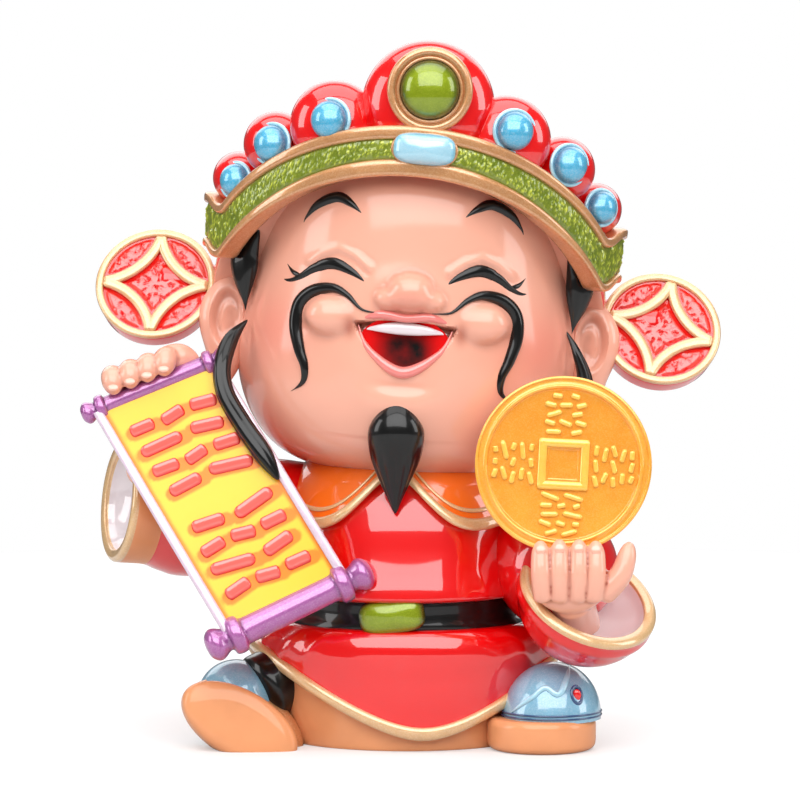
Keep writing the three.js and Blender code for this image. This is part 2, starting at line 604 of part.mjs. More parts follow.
// Left arm: a full sleeve, open upwards and forwards, with the hand held up in front of the coin.
function leftHand() {
  const palm = ball(point(23.6, -23.2, 25), [5.4, 3, 4.8], [8, 5]);
  const forearm = [point(25.3, -12, 17), point(23.8, -23, 22.8)];
  const wrist = strand(forearm, [3.2, 3], [6, 3], { round: [0.1, 0.1] });
  const fingers = [-0.26, -0.05, 0.17, 0.36].map((share, k) => {
    const x = (COIN_FOOT.x + share * COIN_RADIUS) / u;
    const tip = (COIN_FOOT.z + COIN_GRIP) / u - 0.2 * Math.abs(k - 1.5);
    const spine = [point(x * 0.9 + 2.3, -25, 22), point(x, -25.8, 26), point(x, -24.5, tip)];
    return strand(spine, [1.4, 1.5, 1.3], [5, 4], { round: [0.1, 0.25] });
  });
  const thumbSpine = [point(27.4, -23.6, 22.6), point(30.6, -24, 25.8), point(32, -23.4, 30.4)];
  const thumb = strand(thumbSpine, [1.9, 1.6, 1.2], [6, 4], { round: [0.15, 0.25] });
  return [palm, wrist, ...fingers, thumb];
}

function sleeves() {
  const right = strand(
    [point(-9, 1, 32), point(-20, 0, 31.6), behind(RIGHT_CUFF, 10).add(point(0, 0, -0.6)), RIGHT_CUFF.centre],
    [7, 8.4, 9.4, 8.7],
    [14, 5],
    { out: UP, round: [0.2, 0] },
  );
  const arm = strand([point(10, 0, 34), point(19, -5, 28), LEFT_CUFF.centre], [7, 8.4, 9.6], [10, 4], {
    out: RIGHT, round: [0.2, 0.1],
  });
  const bag = ball(LEFT_CUFF.centre, [10.2, 10.2, 10.2], [12, 7]);
  return [right, arm, bag];
}

// The room in front of the left cuff, cut off the sleeve.
function beyondCuff() {
  const { centre, normal } = LEFT_CUFF;
  const turn = new THREE.Quaternion().setFromUnitVectors(UP, normal);
  return new THREE.BoxGeometry(HEIGHT, HEIGHT, HEIGHT)
    .translate(0, 0, HEIGHT / 2)
    .applyQuaternion(turn)
    .translate(centre.x, centre.y, centre.z);
}

// The sleeves are open at the cuff, with a thick edge.
function cuffHollows() {
  const hollow = ({ centre, normal }, radius, depth) =>
    new THREE.SphereGeometry(1, 12, 5)
      .scale(radius * u, radius * u, depth * u)
      .applyQuaternion(new THREE.Quaternion().setFromUnitVectors(UP, normal))
      .translate(centre.x, centre.y, centre.z);
  return [hollow(RIGHT_CUFF, 7, 4), hollow(LEFT_CUFF, 8.4, 5)];
}

// Two strands of hair fall from behind the ears.
const RIGHT_LOCK = [
  [-21.6, -8, 60.4], [-24, -9.6, 57.6], [-25.1, -12, 54], [-24.6, -13.4, 50.4], [-22.2, -14.6, 46.2],
  [-19.2, -16, 42], [-17, -16.8, 38.4],
];
const LEFT_LOCK = [[22.6, -7.4, 61], [24.9, -8.6, 56], [26.2, -9, 51.5], [25.4, -9.6, 46], [22.4, -10, 41]];

function locks() {
  const lock = (path, half) =>
    strand(path.map((place) => point(...place)), half, [6, 7], { flat: 0.6, round: [0.1, 0.1] });
  return [lock(RIGHT_LOCK, [0.6, 1.2, 1.3, 1.3, 1.3, 1.2, 0.8]), lock(LEFT_LOCK, [0.6, 1.2, 1.3, 1.2, 0.6])];
}

// Shoes: the right foot is tipped up and shows its sole, the left stands on the floor.
const SOLE_MIDDLE = point(-22.7, -14, 3.5);
const SOLE_ROLL = 30;
const SOLE_PITCH = -12;

function shoes() {
  const tipped = matrix()
    .makeTranslation(SOLE_MIDDLE)
    .multiply(matrix().makeRotationY(rad(SOLE_ROLL)))
    .multiply(matrix().makeRotationX(rad(SOLE_PITCH)));
  const sole = ball(point(0, 0, 0), [9, 3, 4.8], [12, 5]).applyMatrix4(tipped);
  const welt = ball(point(0.7, 3, 0.6), [9.2, 3, 5.4], [10, 4]).applyMatrix4(tipped);
  const upper = ball(point(-23.3, -8.4, 6.5), [5.6, 6, 5.5], [8, 6]);
  const boot = strand([point(-12, -4, 12), point(-21, -9, 7)], [4.4, 5.2], [6, 3], { round: [0.1, 0.2] });
  const top = SHOE_SOLE / u;
  const sides = [[0, -1], [6.8, -1], [7.7, 1], [7.7, top - 0.6], [7.1, top], [0, top + 1]];
  const flatSole = turned(point(20, -13.4, 0), sides, 12, UP);
  const cap = ball(point(21.4, -13, top), [7, 6.9, 7.7], [12, 6], [0, rad(12), 0]);
  return [sole, welt, upper, boot, flatSole, cap];
}

// The casting is solid, so a hollow that its forms close in between them is filled.
function cast(whole) {
  const shells = whole.decompose();
  return shells.filter((shell) => shell.volume() > 0).reduce((all, shell) => all.add(shell));
}

function figure() {
  const face = fused([skull(), ...nose(), ...appleCheeks(), ...ears()])
    .subtract(fused([mouthHollow(), ...earHollows()]))
    .add(fused([...lips(), ...faceLines(), goatee(), ...hair()]));
  const hat = geometryOf(fused([hatDome(), hatBand(), ...hatCrest(), ...wings()])).applyMatrix4(hatTip);
  const head = solid(geometryOf(face.add(solid(hat))).applyMatrix4(headFrame));
  const [rightSleeve, ...leftSleeve] = sleeves();
  const arms = fused(leftSleeve)
    .subtract(solid(beyondCuff()))
    .add(solid(rightSleeve))
    .subtract(fused(cuffHollows()))
    .add(fused([...rightHand(), ...leftHand()]));
  const block = new THREE.BoxGeometry(2 * HEIGHT, 2 * HEIGHT, HEIGHT);
  const belowFloor = solid(block.translate(0, 0, -HEIGHT / 2));
  const body = fused([...robe(), ...shoes()]).subtract(belowFloor);
  const held = fused([...locks(), ...scroll(), coin()]);
  return geometryOf(cast([arms, held, head].reduce((all, form) => all.add(form), body)));
}

const lacquer = new THREE.MeshStandardMaterial({ color: 0xd8141e, roughness: 0.22, metalness: 0 });

const casting = new THREE.Mesh(figure(), lacquer);
casting.geometry.computeVertexNormals();
casting.name = "caishen_figure";

const root = new THREE.Group();
root.add(casting);

export default root;
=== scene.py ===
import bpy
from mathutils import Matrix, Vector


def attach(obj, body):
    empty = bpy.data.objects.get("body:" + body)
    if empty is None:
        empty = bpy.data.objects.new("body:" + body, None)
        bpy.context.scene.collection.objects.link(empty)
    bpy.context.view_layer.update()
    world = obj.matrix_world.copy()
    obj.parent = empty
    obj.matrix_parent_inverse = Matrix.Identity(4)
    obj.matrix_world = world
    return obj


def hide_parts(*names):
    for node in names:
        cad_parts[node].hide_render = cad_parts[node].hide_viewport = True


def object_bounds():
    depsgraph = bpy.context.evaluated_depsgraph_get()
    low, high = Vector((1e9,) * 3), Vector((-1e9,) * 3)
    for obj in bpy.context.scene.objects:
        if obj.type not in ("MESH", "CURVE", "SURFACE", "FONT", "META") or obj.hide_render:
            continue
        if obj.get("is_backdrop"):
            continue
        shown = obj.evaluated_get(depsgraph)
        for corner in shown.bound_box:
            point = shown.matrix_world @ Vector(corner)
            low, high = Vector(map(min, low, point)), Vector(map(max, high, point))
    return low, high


bl_info = {
    "name": "Laughing god of wealth",
    "version": (1, 0, 0),
    "blender": (4, 5, 0),
    "location": "View3D > Sidebar > Figure",
    "description": "Dresses the cast figure in its carved forms and its lacquered paint",
    "category": "Object",
}

import math

import bmesh
import bpy
from bpy.props import FloatProperty, FloatVectorProperty, PointerProperty
from mathutils import Matrix, Vector, geometry, noise

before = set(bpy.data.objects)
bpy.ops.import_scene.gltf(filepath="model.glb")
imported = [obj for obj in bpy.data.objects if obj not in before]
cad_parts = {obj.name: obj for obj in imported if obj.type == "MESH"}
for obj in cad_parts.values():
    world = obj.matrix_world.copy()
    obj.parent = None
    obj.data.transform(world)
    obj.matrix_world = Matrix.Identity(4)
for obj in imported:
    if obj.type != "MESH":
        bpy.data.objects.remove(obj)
CAD_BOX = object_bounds()

NODE = "caishen_figure"
FIGURE_HEIGHT = round(CAD_BOX[1][2], 3)
HUNDREDTH = FIGURE_HEIGHT / 100  # forms are given in hundredths of the height, as in the solid

FORWARD = Vector((0, -1, 0))
RIGHT = Vector((1, 0, 0))
UP = Vector((0, 0, 1))
SIDES = (-1, 1)


# What each paint is for, and its red, green and blue as a painter's chart gives them
CHART = {
    "skin": ("Face, ears and hands", 240, 172, 148),
    "blush": ("Airbrushed cheeks", 232, 100, 86),
    # Painted shade: darkens the creases of the skin, the underside of the chin and the corners of the mouth
    "wash": ("Painted brown shade in the creases of the skin", 160, 72, 50),
    "red": ("Robe and hat", 232, 6, 12),
    # Painted shade: darkens the creases of the red
    "deep_red": ("Painted shade in the mouth and in the creases of the red", 120, 2, 6),
    "gold": ("Strips of the hat and ring of its boss", 226, 160, 104),
    "cream": ("Wings and trims", 240, 196, 140),
    # Painted shade: darkens the creases of the gold, the cream gold, the orange and the tan
    "bronze": ("Wash in the creases of the gold", 128, 62, 32),
    "orange": ("Collar", 246, 110, 28),
    "olive": ("Hat band", 74, 98, 4),
    "lime": ("Dry-brushed grains of the hat band", 214, 222, 80),
    "leaf": ("Boss and buckle", 140, 160, 12),
    # Painted shade: darkens the edges of the boss and the buckle
    "moss": ("Painted shade at the edges of the boss and the buckle", 40, 60, 2),
    # Also a painted shade round the edge of the gem and in the hollows of the pale blue rings
    "blue": ("Pearls", 78, 186, 226),
    # Painted shade round the edges of the pearls; the shoe's lines are painted navy too
    "navy": ("Wash round the pearls", 18, 66, 112),
    "shoe": ("Metallic blue of the shoes", 136, 192, 218),
    "ice": ("Rings of the pearls and curl of the shoe", 176, 220, 236),
    "purple": ("Scroll rods", 188, 104, 176),
    # Painted shade: darkens the hollows of the purple and the lavender
    "plum": ("Wash of the purple", 92, 34, 100),
    "lavender": ("Side strips of the scroll", 236, 214, 230),
    "yellow": ("Scroll", 250, 206, 56),
    # Painted shadow round the strokes of the scroll; along the sheet's edges it is airbrush
    "amber": ("Painted shadow round the strokes of the scroll, and airbrush along its edges", 246, 136, 20),
    "coin": ("Coin", 250, 148, 36),
    # Painted highlight on the raised parts of the coin
    "coin_highlight": ("Painted highlight on what stands out of the coin", 254, 206, 84),
    # Also the painted shade at the back of the mouth
    "black": ("Hair and belt", 18.188, 18.188, 18.188),
    "lining": ("Inside of the sleeves", 232, 222, 226),
    "tan": ("Hem and soles", 238, 160, 110),
    # Also the pink flecks on the wings' plateaus: a painted reflection
    "lips": ("Lips", 240, 132, 124),
    # Painted reflection: the tops of the strokes are coral, their sides red
    "coral": ("Tops of the strokes on the scroll, lighter than their red sides: a painted reflection", 242, 110, 100),
}


class FigurePaints(bpy.types.PropertyGroup):
    """The paints on the figure, as linear light."""

    __annotations__ = {
        name: FloatVectorProperty(
            name=name.replace("_", " ").capitalize(), description=use, subtype="COLOR", min=0, max=1,
            default=[(part / 255) ** 2.2 for part in colour],
        )
        for name, (use, *colour) in CHART.items()
    }


class FigureSizes(bpy.types.PropertyGroup):
    """The sizes that the carving and the stage are set by."""

    coat_roughness: FloatProperty(
        name="Coat roughness", description="Roughness of the clear lacquer", default=0.04, min=0, max=1
    )
    coat_wave: FloatProperty(
        name="Coat wave", description="How far the thick lacquer pools", default=0.00006, unit="LENGTH"
    )
    coat_index: FloatProperty(
        name="Coat index", description="Refractive index of the clear lacquer", default=1.8, min=1, max=3
    )
    floor_radius: FloatProperty(name="Floor", description="Radius of the floor", default=0.42, unit="LENGTH")
    eye_distance: FloatProperty(
        name="Eye distance", description="From the figure", default=1.1, unit="LENGTH"
    )
    eye_elevation: FloatProperty(
        name="Eye elevation", description="Angle over the horizon", default=math.radians(4), subtype="ANGLE"
    )


# Lines, tables and the forms that everything is shaped from


def clamp(value, low=0.0, high=1.0):
    return max(low, min(high, value))


def lerp(start, end, share):
    return start + (end - start) * share


def eased(value, low, high):
    """0 below low, 1 above high, and smooth between."""
    share = clamp((value - low) / (high - low))
    return share * share * (3 - 2 * share)


def swell(distance, reach):
    """1 at no distance, and 0 from a few times reach on."""
    return math.exp(-((distance / reach) ** 2))


def along(values, share):
    """The value at a share of a list of evenly spaced values, on a smooth line."""
    at = clamp(share) * (len(values) - 1)
    i = min(int(at), len(values) - 2)
    before, start, end, after = (values[clamp(k, 0, len(values) - 1)] for k in (i - 1, i, i + 1, i + 2))
    t = at - i
    return start + 0.5 * t * (
        end - before
        + t * (2 * before - 5 * start + 4 * end - after + t * (3 * (start - end) + after - before))
    )


def looked(table, place):
    """The value at a place of a list of pairs, which runs upwards, on a smooth line."""
    place = clamp(place, table[0][0], table[-1][0])
    i = next(k for k in range(1, len(table)) if table[k][0] >= place)
    (low, start), (high, end) = table[i - 1], table[i]
    before = table[i - 2] if i > 1 else table[i - 1]
    after = table[i + 1] if i + 1 < len(table) else table[i]
    span = high - low
    slope_in = (end - before[1]) / (high - before[0]) * span
    slope_out = (after[1] - start) / (after[0] - low) * span
    t = (place - low) / span
    return (
        start * (1 + 2 * t) * (1 - t) ** 2
        + slope_in * t * (1 - t) ** 2
        + end * t * t * (3 - 2 * t)
        - slope_out * t * t * (1 - t)
    )


class Line:
    """A smooth line through places, walked by shares of its length."""

    def __init__(self, places, fineness=16):
        places = [Vector(place) for place in places]
        padded = [places[0], *places, places[-1]]
        self.points = [places[0]]
        for before, start, end, after in zip(padded, padded[1:], padded[2:], padded[3:]):
            handle, other = start + (end - before) / 6, end - (after - start) / 6
            self.points += geometry.interpolate_bezier(start, handle, other, end, fineness)[1:]
        self.marks = [0.0]
        for start, end in zip(self.points, self.points[1:]):
            self.marks.append(self.marks[-1] + (end - start).length)

    def at(self, share):
        """The point and the direction at a share of the length."""
        mark = clamp(share) * self.marks[-1]
        low, high = 0, len(self.marks) - 2
        while low < high:
            middle = (low + high + 1) // 2
            if self.marks[middle] <= mark:
                low = middle
            else:
                high = middle - 1
        start, end = self.points[low], self.points[low + 1]
        span = self.marks[low + 1] - self.marks[low]
        part = (mark - self.marks[low]) / span
        before = self.points[max(low - 1, 0)]
        after = self.points[min(low + 2, len(self.points) - 1)]
        direction = (end - before).lerp(after - start, part).normalized()
        return start.lerp(end, part), direction


def pillow(centre, half, rise, facing=FORWARD, squareness=3.2, sides=72, rings=36):
    """A set stone or a buckle: a bulging oblong with rounded corners, its edge marked to be darker: a painted
    shade.
    """
    form = globe(sides, rings)
    mark = form.verts.layers.float.new("wash")
    for corner in form.verts:
        ring = math.hypot(corner.co.x, corner.co.y)
        x, y = boxed(math.atan2(corner.co.y, corner.co.x), squareness)
        corner[mark] = eased(ring, 0.8, 1.0)
        corner.co = Vector((x * ring * half[0], y * ring * half[1], corner.co.z * rise))
    return placed(form, facing_at(centre, facing))


def placed(form, matrix):
    bmesh.ops.transform(form, matrix=matrix, verts=form.verts)
    return form


def facing_at(centre, facing):
    """The frame that has its upward axis turned to a facing, at a centre."""
    return Matrix.Translation(centre) @ UP.rotation_difference(facing).to_matrix().to_4x4()


def turn(degrees, axis):
    return Matrix.Rotation(math.radians(degrees), 4, axis)


def share_down(place):
    """How far down a globe a place on it lies: 0 at its top and 1 at its foot."""
    return math.acos(clamp(place.z, -1, 1)) / math.pi


def at_pole(place):
    return math.hypot(place.x, place.y) < 1e-6


def spun(form, geom, steps):
    """A form's line or ring, spun round the upward axis."""
    bmesh.ops.spin(
        form, geom=geom, cent=Vector(), axis=UP,
        angle=2 * math.pi, steps=steps, use_merge=True, use_duplicate=False
    )


def floored(form):
    """Flattens what would pass below the floor."""
    for corner in form.verts:
        corner.co.z = max(corner.co.z, 0.0)
    return form


def moved(form, place):
    for corner in form.verts:
        corner.co = place(corner.co)
    return form


def globe(sides, rings):
    form = bmesh.new()
    bmesh.ops.create_uvsphere(form, u_segments=sides, v_segments=rings, radius=1)
    return form


def ball(centre, radii, turn=None, sides=48, rings=32):
    form = globe(sides, rings)
    bmesh.ops.scale(form, vec=Vector(radii), verts=form.verts)
    if turn:
        placed(form, turn.to_matrix().to_4x4())
    bmesh.ops.translate(form, vec=Vector(centre), verts=form.verts)
    return form


def pile(rows, sides=200, rings=80):
    """A closed pile of rings. A row gives the point of its ring at an angle from the front."""

    columns = {}

    def place(corner):
        share = share_down(corner)
        if at_pole(corner):
            row = rows[0] if corner.z > 0 else rows[-1]
            return sum((row(k * math.pi / 8) for k in range(16)), Vector()) / 16
        angle = round(math.atan2(corner.x, -corner.y), 5)
        if angle not in columns:
            columns[angle] = [row(angle) for row in rows]
        return along(columns[angle], share)

    return moved(globe(sides, rings), place)


def loop(sides, steps, place):
    """A closed ring. place gives the point at an angle round the ring and an angle round its section."""
    form = bmesh.new()
    bmesh.ops.create_circle(form, segments=sides, radius=1, cap_ends=False)
    placed(form, Matrix.Translation(2 * RIGHT) @ turn(90, "X"))
    spun(form, form.verts[:] + form.edges[:], steps)

    def at(corner):
        section = math.atan2(corner.z, math.hypot(corner.x, corner.y) - 2)
        return place(math.atan2(corner.y, corner.x), section)

    return moved(form, at)


def boxed(angle, squareness=4):
    """A point of a rounded square's outline, from -1 to 1 each way."""
    across, up = math.cos(angle), math.sin(angle)
    size = (abs(across) ** squareness + abs(up) ** squareness) ** (-1 / squareness)
    return across * size, up * size


def strand(
    places, half, sides=24, steps=72, flat=1.0, out=FORWARD, ends=(0.5, 0.5), groove=None, squareness=2
):
    """A bead drawn out along a smooth line: half widths along it, and the shares rounded off at its ends."""
    line = Line(places)
    form = globe(sides, steps)

    def spaced(share):
        return 0.5 * share + 0.25 * (1 - math.cos(math.pi * share))

    def place(corner):
        pole = at_pole(corner)
        share = share_down(corner)
        t = spaced(share)
        reach = t / ends[0] if t < 0.5 else (1 - t) / ends[1]
        fullness = 0 if pole else math.sqrt(max(0, 1 - (1 - min(reach, 1)) ** 2))
        width = along(half, t) * fullness
        centre, direction = line.at(t)
        side = out.cross(direction).normalized()
        outward = direction.cross(side)
        angle = math.atan2(corner.y, corner.x)
        x, y = boxed(angle, squareness)
        if groove:
            grooved = 1 - groove(angle, t)
            x, y = x * grooved, y * grooved
        return centre + side * (x * width) + outward * (y * width * flat)

    return moved(form, place)


def turned(centre, outline, facing=FORWARD, sides=64):
    """A form turned about the way it faces, from radius and height pairs, foot to top, smooth between."""
    form = globe(sides, 12 * (len(outline) - 1))
    turn = UP.rotation_difference(facing).to_matrix()
    centre = Vector(centre)

    def place(corner):
        share = 1 - share_down(corner)
        i = min(int(share * (len(outline) - 1)), len(outline) - 2)
        part = share * (len(outline) - 1) - i
        radius = lerp(outline[i][0], outline[i + 1][0], part)
        height = lerp(outline[i][1], outline[i + 1][1], part)
        ring = math.hypot(corner.x, corner.y) or 1
        return centre + turn @ Vector((corner.x / ring * radius, corner.y / ring * radius, height))

    return moved(form, place)


def rounded_outline(corners, radius, steps=4):
    """An outline's corners, each turned into a short curve."""
    places = [Vector(corner) for corner in corners]
    smooth = [places[0]]
    for before, corner, after in zip(places, places[1:], places[2:]):
        start = corner + (before - corner).normalized() * min(radius, 0.45 * (before - corner).length)
        end = corner + (after - corner).normalized() * min(radius, 0.45 * (after - corner).length)
        for k in range(steps + 1):
            t = k / steps
            smooth.append(start.lerp(corner, t).lerp(corner.lerp(end, t), t))
    return [*smooth, places[-1]]


def lathe(outline, place, sides=96, radius=0.3):
    """A solid spun from an outline of radius and height pairs, which starts and ends on the axis."""
    form = bmesh.new()
    places = rounded_outline(outline, radius)
    corners = [form.verts.new((place.x, 0, place.y)) for place in places]
    edges = [form.edges.new(pair) for pair in zip(corners, corners[1:])]
    spun(form, corners + edges, sides)
    bmesh.ops.remove_doubles(form, verts=form.verts, dist=1e-5)
    placed(form, place)
    return form


SHARP_EDGE = math.radians(60)


def joined(forms):
    """One form of several."""
    whole = forms[0]
    for form in forms[1:]:
        mesh = bpy.data.meshes.new("joining")
        form.to_mesh(mesh)
        form.free()
        whole.from_mesh(mesh)
        bpy.data.meshes.remove(mesh)
    return whole


def painted(form, amount, layer="wash"):
    """Stores amount(corner's place in hundredths) on each corner, for the paint to read."""
    mark = form.verts.layers.float.get(layer) or form.verts.layers.float.new(layer)
    for corner in form.verts:
        corner[mark] = amount(corner.co)
    return form


def creased(form, reach=3, strength=1.0):
    """Stores how hollow the surface is at each corner. The paint is darkened there: a painted shade in the
    hollows.
    """
    form.normal_update()
    mark = form.verts.layers.float.get("wash") or form.verts.layers.float.new("wash")
    form.verts.ensure_lookup_table()
    neighbours = [[edge.other_vert(corner).index for edge in corner.link_edges] for corner in form.verts]
    values = []
    for corner in form.verts:
        ring = [edge.other_vert(corner).co for edge in corner.link_edges]
        middle = sum(ring, Vector()) / len(ring)
        size = sum((place - corner.co).length for place in ring) / len(ring)
        values.append(clamp((middle - corner.co).dot(corner.normal) / (size * size + 1e-9), -2, 2))
    for _ in range(reach):
        values = [
            (value + sum(values[k] for k in around)) / (len(around) + 1)
            for value, around in zip(values, neighbours)
        ]
    for corner, value in zip(form.verts, values):
        corner[mark] = clamp(strength * value)
    return form


def outward(form):
    """Turns every closed shell of a form so that its faces look outwards."""
    bmesh.ops.recalc_face_normals(form, faces=form.faces)
    form.normal_update()
    left = set(form.faces)
    while left:
        shell = [left.pop()]
        for face in shell:
            for edge in face.edges:
                for other in edge.link_faces:
                    if other in left:
                        left.discard(other)
                        shell.append(other)
        if sum(face.calc_center_median().dot(face.normal) * face.calc_area() for face in shell) < 0:
            bmesh.ops.reverse_faces(form, faces=shell)
    form.normal_update()
    return form


def finished(name, form, *finishes, place=None, crease=None):
    """Turns a form in hundredths into a piece of the figure, in finishes by their names."""
    if place:
        placed(form, place)
    outward(form)
    # Marks the hollows, where the paint is darkened: a painted shade
    if crease:
        creased(form, strength=crease)
    bmesh.ops.scale(form, vec=Vector((HUNDREDTH,) * 3), verts=form.verts)
    mesh = bpy.data.meshes.new(name)
    form.to_mesh(mesh)
    form.free()
    for called in finishes:
        mesh.materials.append(finish(called))
    mesh.shade_smooth()
    mesh.set_sharp_from_angle(angle=SHARP_EDGE)
    piece = bpy.data.objects.new(name, mesh)
    bpy.context.scene.collection.objects.link(piece)
    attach(piece, "root")
    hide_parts(NODE)
    return piece


def melted(form, grain, smoothing=6):
    """Runs forms together into one skin, as they are in the casting."""
    mesh = bpy.data.meshes.new("melting")
    form.to_mesh(mesh)
    form.free()
    piece = bpy.data.objects.new("melting", mesh)
    bpy.context.scene.collection.objects.link(piece)
    remesh = piece.modifiers.new("Melt", "REMESH")
    remesh.mode = "VOXEL"
    remesh.voxel_size = grain
    soften = piece.modifiers.new("Soften", "SMOOTH")
    soften.factor = 0.5
    soften.iterations = smoothing
    whole = bmesh.new()
    whole.from_object(piece, bpy.context.evaluated_depsgraph_get())
    bpy.data.objects.remove(piece)
    bpy.data.meshes.remove(mesh)
    return whole


# Paints


def effect_group(name, inputs, outputs):
    """An empty node group with named sockets, and its two end nodes."""
    group = bpy.data.node_groups.new(name, "ShaderNodeTree")
    for title, kind, default in inputs:
        socket = group.interface.new_socket(title, in_out="INPUT", socket_type=kind)
        socket.default_value = default
    for title, kind in outputs:
        group.interface.new_socket(title, in_out="OUTPUT", socket_type=kind)
    return group, group.nodes.new("NodeGroupInput"), group.nodes.new("NodeGroupOutput")


def marked(tree, layer):
    """The marks that a form stores on its corners."""
    return node(tree, "ShaderNodeAttribute", attribute_name=layer).outputs["Fac"]


def colour_of(paint_name):
    return (*getattr(bpy.context.scene.figure_paints, paint_name), 1)


def node(tree, kind, **settings):
    made = tree.nodes.new(kind)
    for setting, value in settings.items():
        setattr(made, setting, value)
    return made


def mixed(tree, factor, start, end, blend="MIX"):
    """The colour between two colours or sockets."""
    mix = node(tree, "ShaderNodeMix", data_type="RGBA", blend_type=blend)
    for socket, value in zip((mix.inputs[0], mix.inputs[6], mix.inputs[7]), (factor, start, end)):
        if isinstance(value, bpy.types.NodeSocket):
            tree.links.new(value, socket)
        else:
            socket.default_value = value
    return mix.outputs[2]


def reckoned(tree, operation, *values, clamped=False):
    """The result of a sum on numbers or sockets."""
    sum_node = node(tree, "ShaderNodeMath", operation=operation, use_clamp=clamped)
    for socket, value in zip(sum_node.inputs, values):
        if isinstance(value, bpy.types.NodeSocket):
            tree.links.new(value, socket)
        else:
            socket.default_value = value
    return sum_node.outputs[0]


def ramped(tree, value, low, high):
    """0 below low and 1 above high."""
    ranged = node(tree, "ShaderNodeMapRange", interpolation_type="SMOOTHSTEP")
    tree.links.new(value, ranged.inputs["Value"])
    ranged.inputs["From Min"].default_value = low
    ranged.inputs["From Max"].default_value = high
    return ranged.outputs["Result"]


def speckle(tree, scale, detail=2.0, coordinates=None):
    """A noise on the object's own coordinates."""
    texture = node(tree, "ShaderNodeTexNoise")
    texture.inputs["Scale"].default_value = scale
    texture.inputs["Detail"].default_value = detail
    tree.links.new(
        coordinates or node(tree, "ShaderNodeTexCoord").outputs["Object"], texture.inputs["Vector"]
    )
    return texture.outputs["Fac"]


def shade_highlight_and_grain_group():
    """Hand paint: the paint, a second colour where the form is marked, and a soft unevenness. The marks are
    mostly painted shade, in the hollows, round the stones' edges and at the back of the mouth; on the coin
    they are a painted highlight, on the scroll's strokes they leave the tops coral as a painted reflection,
    and on the hat band they are dry-brushed grains.
    """
    group, given, result = effect_group(
        "Paint with shade, highlight and grain",
        (
            ("Paint", "NodeSocketColor", (0.8, 0.8, 0.8, 1)),
            ("Wash", "NodeSocketColor", (0.2, 0.1, 0.05, 1)),
            ("Wash strength", "NodeSocketFloat", 1.0),
            ("Unevenness", "NodeSocketFloat", 0.1),
            ("Brush scale", "NodeSocketFloat", 120.0),
        ),
        (("Color", "NodeSocketColor"), ("Hollow", "NodeSocketFloat")),
    )
    hollow = node(group, "ShaderNodeAttribute", attribute_name="wash").outputs["Fac"]
    coordinates = node(group, "ShaderNodeTexCoord").outputs["Object"]
    cloud = node(group, "ShaderNodeTexNoise")
    cloud.inputs["Detail"].default_value = 4
    group.links.new(coordinates, cloud.inputs["Vector"])
    group.links.new(given.outputs["Brush scale"], cloud.inputs["Scale"])
    patchy = reckoned(group, "MULTIPLY", hollow, reckoned(group, "ADD", cloud.outputs["Fac"], 0.5))
    strength = reckoned(group, "MULTIPLY", patchy, given.outputs["Wash strength"], clamped=True)
    uneven = reckoned(group, "MULTIPLY", cloud.outputs["Fac"], given.outputs["Unevenness"])
    darker = mixed(group, uneven, given.outputs["Paint"], given.outputs["Wash"])
    group.links.new(mixed(group, strength, darker, given.outputs["Wash"]), result.inputs["Color"])
    group.links.new(strength, result.inputs["Hollow"])
    return group


def flake_group():
    """Metallic flakes: a fine glitter between two colours."""
    group, given, result = effect_group(
        "Metallic flake",
        (
            ("Base", "NodeSocketColor", (0.5, 0.3, 0.1, 1)),
            ("Glint", "NodeSocketColor", (1, 0.8, 0.5, 1)),
            ("Flake scale", "NodeSocketFloat", 4200.0),
            ("Amount", "NodeSocketFloat", 0.4),
        ),
        (("Color", "NodeSocketColor"), ("Roughness", "NodeSocketFloat")),
    )
    coordinates = node(group, "ShaderNodeTexCoord").outputs["Object"]
    flakes = node(group, "ShaderNodeTexVoronoi")
    group.links.new(coordinates, flakes.inputs["Vector"])
    group.links.new(given.outputs["Flake scale"], flakes.inputs["Scale"])
    random = node(group, "ShaderNodeSeparateColor")
    group.links.new(flakes.outputs["Color"], random.inputs[0])
    glint = reckoned(
        group, "MULTIPLY", reckoned(group, "POWER", random.outputs[0], 2.0), given.outputs["Amount"]
    )
    group.links.new(
        mixed(group, glint, given.outputs["Base"], given.outputs["Glint"]), result.inputs["Color"]
    )
    group.links.new(
        reckoned(group, "ADD", reckoned(group, "MULTIPLY", random.outputs[1], 0.2), 0.28),
        result.inputs["Roughness"]
    )
    return group


def pooled_coat_group():
    """The slow waves of a thick poured lacquer, as a height."""
    group, given, result = effect_group(
        "Pooled coat", (("Wave", "NodeSocketFloat", 0.00006),), (("Height", "NodeSocketFloat"),)
    )
    slow = speckle(group, 70, 1.0)
    fine = reckoned(group, "MULTIPLY", speckle(group, 260, 1.0), 0.25)
    group.links.new(
        reckoned(group, "MULTIPLY", reckoned(group, "ADD", slow, fine), given.outputs["Wave"]),
        result.inputs["Height"]
    )
    return group


